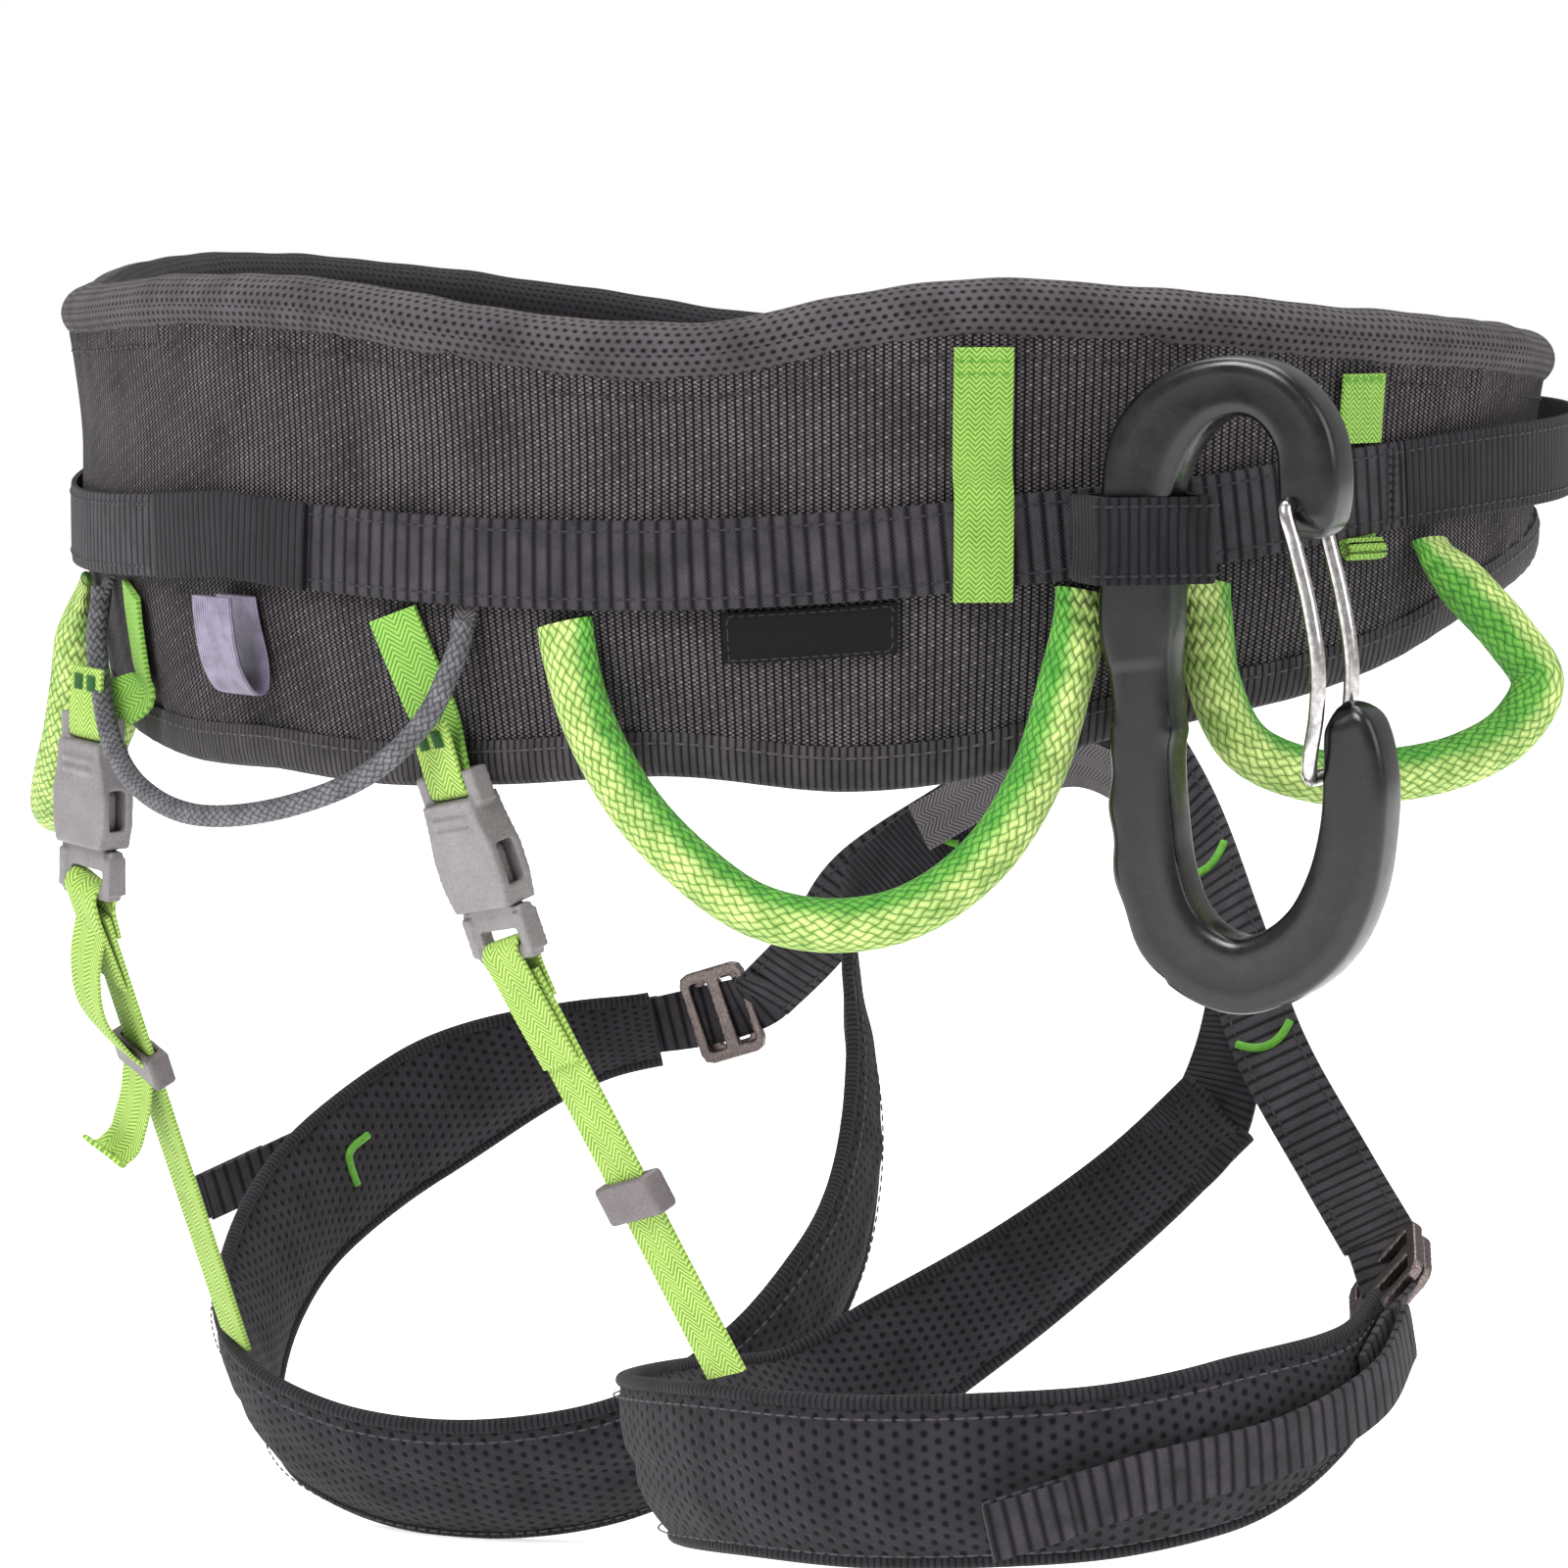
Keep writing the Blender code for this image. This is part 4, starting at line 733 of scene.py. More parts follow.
def waist_belt():
    """Shell, foam, lining, roll and bindings of the padded belt."""
    t = np.linspace(-BELT_END, BELT_END, 313)
    run = waist_length(t)
    low = bottom(t) + BINDING_HIGH - 2.0
    high = top(t) - 2 * ROLL_HIGH + 4.0

    def outer(angle, z):
        round_waist = waist_length(angle)
        floor, roof = bottom(angle) + BINDING_HIGH, top(angle) - 2 * ROLL_HIGH
        hem = np.exp(-(z - floor) / 5.0) + np.exp(-(roof - z) / 5.0)
        pucker = ripple((0.35, round_waist, 11.0, 0.0), (0.25, round_waist, 17.0, 1.0))
        return lean(z) - 0.25 + hem * pucker * 0.8 + ripple((0.35, round_waist + 0.7 * z, 83.0, 0.4))

    belt_layer("shell_panel", t, low, high, outer, SHELL_THICK - GAP, "shell", ("belt_shell",), 34, 0.02)
    depth = SHELL_THICK + 2 * GAP

    def foam_lift(angle, z):
        return lean(z) - depth

    belt_layer("foam_core", t, low, high, foam_lift, FOAM_THICK, "foam", ("belt_foam",), edge=0.3)
    inner = depth + FOAM_THICK + 2 * GAP

    def lining_lift(angle, z):
        floor, roof = bottom(angle) + BINDING_HIGH, top(angle) - 2 * ROLL_HIGH
        level = (z - floor) / (roof - floor)
        return lean(z) - inner + LINING_BELLY * (1 - 4 * level * (1 - level))

    lining = belt_layer("mesh_lining", t, low, high, lining_lift, LINING_THICK, "lining",
                        ("belt_mesh_lining",), edge=0.02)
    for side, sign in SIDES:
        z = np.linspace(bottom(BELT_END) + 2.0, top(sign * BELT_END) - ROLL_HIGH - 2.0, 26)
        a = np.linspace(0.0, np.pi, 9)
        wrap = np.concatenate([np.stack([np.sin(a) * 2.2, np.cos(a) * 7.4], 1), [(-7.0, -7.2), (-7.0, 7.2)]])
        centre = ring(np.full(26, sign * BELT_END), lean(z) - 6.6, z)
        beyond = ring(np.array([sign * (BELT_END + 0.1)]), np.array([0.0]), 0.0)
        tangent = unit(beyond - ring(np.array([sign * BELT_END]), np.array([0.0]), 0.0))[0]
        normal = ring_normal(np.array([sign * BELT_END]))[0]
        grid = centre[:, None] + wrap[None, :, :1] * tangent + wrap[None, :, 1:] * normal
        uv = np.stack(np.meshgrid(np.linspace(0, 22.0, len(wrap) + 1), z), -1)
        surface(f"belt_end_binding_{side}", grid, uv, "binding", body="harness")
    roll_t = np.linspace(-BELT_END - 1, BELT_END + 1, 420)
    roll_run = waist_length(roll_t)
    a = np.linspace(0, TAU, 36, endpoint=False)
    waves = ((0.02, roll_run, 47.0, 0.0), (0.014, roll_run, 19.0, 1.0), (0.012, roll_run, 29.0, 2.0))
    plump = 1.0 + ripple(*waves)
    close = np.sqrt(np.clip(1 - ((np.abs(roll_t) - BELT_END + 2.6) / 3.7).clip(0) ** 2, 0.01, 1))
    wrinkle = 0.012 * np.sin(TAU * roll_run[:, None] / 7.3 + 2.0 * np.sin(a)) * np.clip(-np.sin(a), 0, 1)
    radius = (plump * close)[:, None] + wrinkle
    middle = (top(roll_t) - ROLL_HIGH)[:, None]
    angle = np.broadcast_to(roll_t[:, None], radius.shape)
    out = lean(middle) - ROLL_BACK + ROLL_OUT * radius * np.cos(a)
    grid = ring(angle, out, middle + ROLL_HIGH * radius * np.sin(a))
    uv = np.stack(np.meshgrid(np.linspace(0, TAU * ROLL_TURN, 37), roll_run), -1)
    roll = surface("padded_roll", grid, uv[..., ::-1], "roll", ("top_roll",))
    floor = bottom(t)
    edge = np.array([(0.5, 1.2), (0.85, 3.0), (0.9, 5.5), (0.8, 8.2), (0.3, BINDING_HIGH),
                     (-3.5, BINDING_HIGH), (-7.0, BINDING_HIGH), (-7.4, 8.0), (-7.5, 4.0), (-7.2, 1.4),
                     (-5.5, 0.2), (-3.0, -0.1), (-0.6, 0.3)])
    bumpy = ripple((0.12, run, 9.0, 0.0))[:, None]
    angle = np.broadcast_to(t[:, None], (len(t), len(edge)))
    grid = ring(angle, lean(floor[:, None] + edge[:, 1]) + edge[:, 0] + bumpy, floor[:, None] + edge[:, 1])
    turn = lengths(np.column_stack([edge, 0 * edge[:, 0]]), True)
    surface("lower_binding", grid, np.stack(np.meshgrid(turn, run), -1), "binding", ("bottom_binding",))
    seam_t = np.linspace(-BELT_END + 2, BELT_END - 2, 500)
    seam_z = bottom(seam_t) + 7.6
    sewn = [(ring(seam_t, lean(seam_z) + 0.85, seam_z), ring_normal(seam_t))]
    stitches("binding_stitching", sewn, "pale_thread", pitch=3.4)
    under = top(seam_t) - 2 * ROLL_HIGH - 2.4
    sewn = [(ring(seam_t, lean(under) - 0.1, under), ring_normal(seam_t))]
    stitches("roll_stitching", sewn, "thread", pitch=3.2)


def strap_face(t):
    """How far the straps round the waist stand off the ring."""
    return lean(web(t)) + 2.5 * GAP + 7.0 * ease((np.abs(t) - STRAP_END) / 25.0)


def waist_band(name, t0, t1, node, look, rows, wave=0.0):
    """Strap round the waist between two angles, with a line of stitching near each edge."""
    t = np.linspace(t0, t1, rows)
    run = waist_length(t)
    swell = ripple((wave, run, 23.0, 0.5), (0.5 * wave, run, 13.0, 1.1))
    out = strap_face(t) + WEB_THICK / 2 + np.abs(swell) * ease((np.abs(t) - 66) / 16)
    path = ring(t, out, web(t))
    tape(name, path, ring_normal(t), 2 * WEB_HALF, WEB_THICK * 0.94, look, (node,), columns=13)
    rows_sewn = []
    for height in (WEB_HALF - 2.4, -WEB_HALF + 2.4):
        rows_sewn.append((ring(t, out + WEB_THICK * 0.46, web(t) + height), ring_normal(t)))
    stitches(name + "_stitching", rows_sewn, "thread", wide=0.55)


def waist_straps():
    """Webbing round the belt, its smooth cover at the spine, and the plain straps round the front."""
    join = STRAP_END + 0.25
    waist_band("belt_webbing", -STRAP_END, STRAP_END, "waist_webbing", "webbing", 420, wave=0.45)
    cover_t = np.linspace(*COVER_ENDS, 60)
    cover = ring(cover_t, strap_face(cover_t) + WEB_THICK + 0.75, web(cover_t))
    tape("spine_webbing_cover", cover, ring_normal(cover_t), 2 * WEB_HALF + 0.4, 1.4, "plain_web",
         body="harness", columns=13)
    waist_band("strap_right", join, 176.0, "front_strap_right", "plain_web", 140)
    waist_band("strap_left", -join, -BUCKLE_ANGLE + 4.0, "front_strap_left", "plain_web", 100)
    waist_band("strap_bridge", -BUCKLE_ANGLE - 4.0, -183.8, "front_strap_bridge", "plain_web", 60)
    for side, sign in SIDES:
        t = np.array([sign * (STRAP_END - 1.6)])
        bar_tack(f"webbing_tack_{side}", ring(t, strap_face(t) + WEB_THICK * 0.97, web(t))[0], (0, 0, 1),
                 ring_normal(t)[0], 15.0, 4.0, "thread")


def keepers():
    """Elastic keepers over the webbing, sewn in under the roll."""
    for side, sign in SIDES:
        for at, middle, drop in KEEPERS:
            edge = web(middle) + WEB_HALF
            roof = top(sign * middle) - 2 * ROLL_HIGH - 0.8
            if at == "rear":
                z = np.array([edge - 2 * WEB_HALF - drop, edge - WEB_HALF, edge + 1.6, edge + 5.0, roof])
                lift = np.array([3.7, 3.95, 3.8, 1.6, 1.4])
            else:
                z = np.array([edge + 1.0, edge + 2.0, edge + 4.0, (edge + roof) / 2, roof])
                lift = np.array([1.4, 1.5, 1.5, 1.4, 1.4])
            path = smooth_path(ring(np.full(5, sign * middle), lean(z) + lift, z), 40)
            normal = ring_normal(np.array([sign * middle]))[0]
            name = f"elastic_keeper_{at}_{side}"
            facing = np.tile(normal, (40, 1))
            tape(name, path, facing, KEEPER_WIDE, KEEPER_THICK, "keeper", (f"keeper_{at}_{side}",))
            if at == "front":
                low = edge - 2 * WEB_HALF
                hang = ring(np.full(5, sign * middle), lean(low) + np.array([1.2, 1.6, 3.2, 5.0, 3.4]),
                            low + np.array([0.5, -2.0, -4.6, -3.6, -0.6]))
                hook = smooth_path(hang, 24)
                down = np.array([0.0, 0.0, -1.0])
                turned = spread([normal, normal, normal + down, down, normal + 0.4 * down], 24)
                tape(name + "_tail", hook, turned, 11.0, KEEPER_THICK, "keeper", body="harness")
            crossing = np.cross(normal, (0, 0, 1.0))
            lines = [(path[k] + crossing * np.linspace(-5.6, 5.6, 6)[:, None] + normal * 0.55, normal)
                     for k in (-3, -5)]
            stitches(name + "_seam", lines, "green_thread", pitch=2.4)


def label_and_tab():
    """Blank woven label sewn on below the webbing, and the folded tab at the spine."""
    t = np.linspace(*LABEL_ENDS, 30)
    low, high = web(t) - WEB_HALF - LABEL_LOW, web(t) - WEB_HALF - LABEL_HIGH

    def label_lift(angle, z):
        return lean(z) + 1.1

    belt_layer("blank_label", t, low, high, label_lift, 0.6, "label", ("woven_label",), 12)
    left, right = LABEL_ENDS[0] + 0.4, LABEL_ENDS[1] - 0.4
    corner = [(left, -LABEL_LOW), (right, -LABEL_LOW), (right, -LABEL_HIGH), (left, -LABEL_HIGH),
              (left, -LABEL_LOW)]
    around = np.vstack([np.linspace(a, b, 12) for a, b in zip(corner[:-1], corner[1:])])
    drop = np.where(around[:, 1] < -6.5, around[:, 1] + 0.7, around[:, 1] - 0.7)
    z = web(around[:, 0]) - WEB_HALF + drop
    sewn = [(ring(around[:, 0], lean(z) + 1.15, z), ring_normal(around[:, 0]))]
    stitches("label_stitching", sewn, "thread", pitch=2.2, wide=0.45)
    z = np.array([-17.0, -22.0, -33.0, -38.5, -38.5, -33.0, -22.0, -17.0])
    out = lean(z) + np.array([1.4, 1.4, 1.4, 3.4, 6.4, 8.8, 8.6, 8.0])
    path = smooth_path(ring(np.zeros(8), out, z), 60)
    a = np.linspace(0, np.pi, 60)
    outward = np.stack([0 * a, -np.cos(a), -0.9 * np.sin(a)], 1)
    tape("folded_tab", path, outward, TAB_WIDE, 1.2, "satin", ("haul_tab",))


# ---- loops ----------------------------------------------------------------------------


def loop_path(knots, sign, count):
    """Route of a loop from (angle, out, drop below the webbing) knots."""
    t, out, drop = np.array(knots, float).T
    edge = web(np.array([t[0], t[-1]])) - WEB_HALF
    mix = (t - t.min()) / (t.max() - t.min())
    base = edge[0] * (1 - mix) + edge[1] * mix if t[0] < t[-1] else edge.mean()
    z = base + drop
    return smooth_path(ring(sign * t, out + lean(z), z), count)


def gear_loops():
    """Stiff braided loops: a round sheath whose ends flatten where they are sewn in."""
    count = 200
    s = np.linspace(0, 1, count)
    full = ease(np.minimum(s, 1 - s) / 0.09)
    size = np.stack([6.4 / GEAR_RADIUS + (1 - 6.4 / GEAR_RADIUS) * full, 0.28 + 0.72 * full], 1)
    for side, sign in SIDES:
        for at, knots in (("rear", REAR_LOOP), ("front", FRONT_LOOP)):
            path = loop_path(knots, sign, count)[::sign]
            name = f"gear_loop_{at}_{side}"
            out = unit(path * (1, 1, 0))
            tube("braided_" + name, path, out, GEAR_RADIUS, "loop", (name,), sides=32, scale=size)


def haul_cord():
    """Thin braided cord hanging in a curve below the webbing, with a small cloth anchor at each end."""
    path = loop_path(HAUL_LOOP, 1, 46)
    fine = smooth_path(path, 180)
    made = tube("braided_haul_cord", fine, unit(fine * (1, 1, 0)), HAUL_RADIUS, "haul", ("haul_cord",))
    for side, sign, k in (("left", -1, 0), ("right", 1, -1)):
        normal = ring_normal(np.array([sign * HAUL_LOOP[-1][0]]))[0]
        rise, sink = np.array([[3.0], [1.0], [-2.5]]), np.array([[2.6], [1.6], [0.2]])
        ends = smooth_path(path[k] + rise * (0, 0, 1.0) - normal * sink, 16)
        facing = np.tile(normal, (16, 1))
        tape(f"haul_cord_anchor_{side}", ends, facing, 5.4, 1.6, "grey_strap", body="harness")


# ---- tool holder ----------------------------------------------------------------------


def sleeve_frame():
    """Middle of the sleeve on the belt, and its along, out and up directions."""
    here = ring(np.array([SLEEVE_ANGLE]), np.array([0.0]), web(SLEEVE_ANGLE))[0]
    ahead = ring(np.array([SLEEVE_ANGLE + 0.1]), np.array([0.0]), web(SLEEVE_ANGLE))[0]
    run = unit(ahead - here)
    return here, run, np.array([run[1], -run[0], 0.0]), np.array([0.0, 0.0, 1.0])


def round_box(half_x, half_y, radius, steps=8):
    """Outline of a rectangle with round corners, anticlockwise."""
    a = np.radians(np.linspace(0, 90, steps))
    points = []
    for cx, cy, turn in ((1, 1, 0), (-1, 1, 1), (-1, -1, 2), (1, -1, 3)):
        b = a + turn * np.pi / 2
        points.append(np.stack([cx * (half_x - radius) + radius * np.cos(b),
                                cy * (half_y - radius) + radius * np.sin(b)], 1))
    return np.concatenate(points)


def tool_sleeve():
    """Fabric sleeve: an open oval tube, its wall turned over at both hems."""
    here, run, out, up = sleeve_frame()
    middle = here + out * SHAFT_OUT
    levels = np.array([-10.4, -10.5, -10.2, -7.5, -6.8, 0.0, 4.2, 4.8, 7.4, 7.8, 7.7])
    swell = np.array([-0.5, -0.15, 0.0, 0.05, -0.2, -0.3, -0.2, 0.05, 0.0, -0.15, -0.5])
    skin, hole = round_box(13.6, 9.4, 3.2), round_box(10.3, 8.5, 3.0)
    unit_skin = unit(skin)
    outside = skin[None] + unit_skin[None] * swell[:, None, None]
    inside = np.repeat(hole[None], len(levels), 0)[::-1]
    flat = np.vstack([outside, inside])
    z = np.concatenate([levels, levels[::-1]])
    grid = middle + flat[..., :1] * run + flat[..., 1:] * out + z[:, None, None] * up
    turn = lengths(np.column_stack([skin, 0 * skin[:, 0]]), True)
    rows = lengths(grid[:, 0], True)
    surface("webbing_sleeve", grid, np.stack(np.meshgrid(rows, turn), -1).transpose(1, 0, 2), "plain_web",
            ("tool_sleeve",), loop=True)
    lines = []
    for level in (5.9, -8.6):
        edge = skin * 1.01
        line = middle + edge[:, :1] * run + edge[:, 1:] * out + level * up
        lines.append((line[:16], (edge[:, :1] * run + edge[:, 1:] * out)[:16]))
    stitches("sleeve_stitching", lines, "thread", pitch=2.8)


def tool_holder():
    """Hook moulding: a rounded section carried along its spine, with grip grooves and a raised rim."""
    here, run, out, up = sleeve_frame()
    origin = here + out * SHAFT_OUT
    reach = run * np.cos(HOOK_YAW) + out * np.sin(HOOK_YAW)
    face = out * np.cos(HOOK_YAW) - run * np.sin(HOOK_YAW)
    knots = np.array(HOOK)
    marks = origin + knots[:, :1] * reach + knots[:, 1:2] * up
    path = smooth_path(marks, 300)
    order = np.array([np.argmin(np.linalg.norm(path - m, axis=1)) for m in marks])
    run_at = lengths(path)
    wide = along(np.stack([run_at[order], knots[:, 2]], 1), run_at)
    s = np.minimum(run_at, run_at[-1] - run_at)
    cap = np.sqrt(np.clip(1 - (1 - s / 5.5).clip(0) ** 2, 0.02, 1))
    height = (path - origin) @ up
    lower = (run_at > 0.5 * run_at[-1]) & (height < GRIP_TOP) & ((path - origin) @ reach < 22)
    groove = GRIP_DEEP * (0.5 - 0.5 * np.cos(TAU * (height - GRIP_TOP) / GRIP_PITCH))
    grip = np.where(lower & (height > GRIP_END), groove, 0.0)
    step = 0.7 * ease((-height - 27) / 1.2) * ease((run_at - 0.3 * run_at[-1]) / 20)
    sides = 40
    a = np.linspace(0, TAU, sides, endpoint=False)
    x = np.sign(np.cos(a)) * np.abs(np.cos(a)) ** 0.5
    y = np.sign(np.sin(a)) * np.abs(np.sin(a)) ** 0.36
    _, side, outward = frames(path, np.tile(face, (300, 1)))
    shaft = ease((run_at - 0.45 * run_at[-1]) / 12) * ease((20 - (path - origin) @ reach) / 6)
    collar = sum(rise * np.exp(-((height - middle) / long) ** 2) for middle, rise, long in WRISTS)
    half_wide = (wide / 2 + shaft * collar) * cap
    half_deep = (HOOK_DEEP / 2 - 0.25 * step) * cap
    rim = 1.0 - 0.07 * np.exp(-(x / 0.5) ** 2)
    notch = grip[:, None] * x.clip(0)
    grid = path[:, None] + side[:, None] * (x * half_wide[:, None] - notch)[..., None]
    grid = grid + outward[:, None] * (y * rim * half_deep[:, None])[..., None]
    uv = np.stack(np.meshgrid(np.linspace(0, 40, sides + 1), run_at), -1)
    surface("nylon_hook", grid, uv, "nylon", ("tool_holder",), sharp=70)
    legs = np.array(GATE)
    both = np.concatenate([legs, (legs * (1, 1, -1))[-2::-1]])
    wire = smooth_path(origin + both[:, :1] * reach + both[:, 1:2] * up + both[:, 2:] * face, 180)
    tangent = unit(np.gradient(wire, axis=0))
    flat = np.cross(tangent, np.cross(tangent, reach))
    tube("bent_wire_gate", wire, flat, GATE_RADIUS, "steel", ("wire_gate",), sides=18)
    for cheek, sign in (("near", 1), ("far", -1)):
        centre = origin + reach * GATE[0][0] + up * GATE[0][1] + face * sign * (HOOK_DEEP / 2 - 0.4)
        ends = centre + face * sign * np.array([[0.0], [0.9]])
        route = smooth_path(np.vstack([ends[:1], ends]), 8)
        facing = np.tile(up, (8, 1))
        tube(f"gate_pivot_boss_{cheek}", route, facing, 3.1, "nylon", body="tool_holder", sides=24)


# ---- risers ---------------------------------------------------------------------------


def riser_frame(side, stretch="buckle"):
    """Start of the buckle's or the elastic's straight stretch, and its side, out and down directions."""
    data = RISERS[side]
    start, stop = ("foot", "end") if stretch == "buckle" else ("end", "leg")
    start = np.array(data[start])
    down = unit(np.array(data[stop]) - start)
    across = unit(np.cross(down, (0.0, 1.0, 0.0)))
    return start, across, np.cross(across, down), down


def riser_webbing(side):
    """Green webbing down the belt's face, folded back round the buckle's bar and tacked."""
    sign = RISERS[side]["sign"]
    foot, across, out, down = riser_frame(side)
    level = np.linspace(0, 1, 6)
    start = web(RISER_ANGLE) - WEB_HALF - 3.2
    z = start + (bottom(RISER_FOOT) + 14.0 - start) * level
    t = sign * (RISER_ANGLE + 0.6 * (RISER_FOOT - RISER_ANGLE) * level)
    skin = ring(t, lean(z) + 1.9, z)
    end = foot + down * np.array([[-1.0], [FOLD_START]])
    path = smooth_path(np.vstack([skin, end]), 90)
    flat = unit(skin[0] * (1, 1, 0))
    outward = spread([flat, flat, out], 90)
    tape(f"riser_tape_{side}", path, outward, RISER_WIDE, 1.5, "deep_green", (f"riser_webbing_{side}",))
    fold = foot + down * np.array([[-13.0], [-6.0], [0.0], [FOLD_START], [3.6], [2.0]])
    fold = smooth_path(fold + out * np.array([[1.7], [1.9], [2.2], [1.8], [0.2], [-1.2]]), 60)
    turned = spread([out, out, out, out + down, down, down - out], 60)
    tape(f"riser_fold_{side}", fold, turned, RISER_WIDE, 1.3, "green", body="harness")
    bar_tack(f"riser_tack_{side}", foot - down * 9.5 + out * 2.6, down, out, 3.4, 10.5, "dark_green_thread")


def riser_buckle(side):
    """Side-release buckle: grey housing with ears and a bar, and its two-pronged plug."""
    foot, across, out, down = riser_frame(side)
    axes = np.stack([across, down, out])
    start = HOUSING_START
    ears = [((3.6, 8.0, 5.0), foot + down * (start - 2.2) + across * x, axes) for x in (-8.4, 8.4)]
    bar = [((17.0, 2.6, 3.4), foot + down * (start + 1.2), axes)]
    ribs = [((12.0, 1.1, 1.0), foot + down * (start + y) + out * 4.4, axes) for y in (4.0, 6.6)]
    moulding(f"buckle_body_{side}", f"buckle_housing_{side}", "buckle", ears + bar + ribs, voxel=0.45)
    base = PLUG_START
    grip = [((3.0, 9.0, 5.0), foot + down * (base + 6.0) + across * x, axes) for x in (-9.4, 9.4)]
    cross = [((18.0, 2.2, 4.6), foot + down * (base + 10.6), axes)]
    moulding(f"buckle_prongs_{side}", f"buckle_plug_{side}", "buckle", grip + cross, voxel=0.4, rounds=4)


def riser_elastic(side):
    """Green elastic from the plug to the leg loop, folded round the plug's bar, with a slack strand on the
    left, and its slider.
    """
    data = RISERS[side]
    start, across, out, down = riser_frame(side, "elastic")
    leg = np.array(data["leg"])
    reach = np.linalg.norm(leg - start)
    s = np.linspace(0, 1, 150)
    path = start + down * (ELASTIC_START + (reach - ELASTIC_START) * s)[:, None]
    made = tape(f"elastic_riser_{side}", path, np.tile(out, (150, 1)), ELASTIC_WIDE + 1.4, 1.5, "green",
                (f"elastic_strap_{side}",))
    foot, _, plug_out, plug_down = riser_frame(side)
    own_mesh(made)
    if side == "left":
        marks = np.array(SLACK, float)
        slack = smooth_path(start + marks[:, :1] * down + marks[:, 1:2] * out + marks[:, 2:] * across, 120)
        flat = np.cross(across, unit(np.gradient(slack, axis=0)))
        loose = tape("elastic_slack_left", slack, flat, ELASTIC_WIDE + 0.6, 1.2, "green", body="harness")
        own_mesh(loose)
    bar = foot + plug_down * (PLUG_START + 10.3)
    behind = bar - plug_down * 2.4
    strand = [start + down * 24.0 + out * 1.3, start + down * 12.0 + out * 1.9,
              bar + plug_down * 2.6 + out * 2.4, bar + plug_out * 3.0, behind + plug_out * 1.4,
              behind - plug_out * 1.4, bar - plug_out * 3.0, bar + plug_down * 3.4 - out * 2.4,
              start + down * 9.0 - out * 1.4]
    fold = smooth_path(strand, 110)
    tangent = unit(np.gradient(fold, axis=0))
    tape(f"elastic_fold_{side}", fold, np.cross(across, tangent), ELASTIC_WIDE + 0.8, 1.2, "green",
         body=f"buckle_plug_{side}")
    moulding(f"elastic_slider_{side}", f"strap_slider_{side}", "slider", voxel=0.35, rounds=3)


# ---- leg loops ------------------------------------------------------------------------


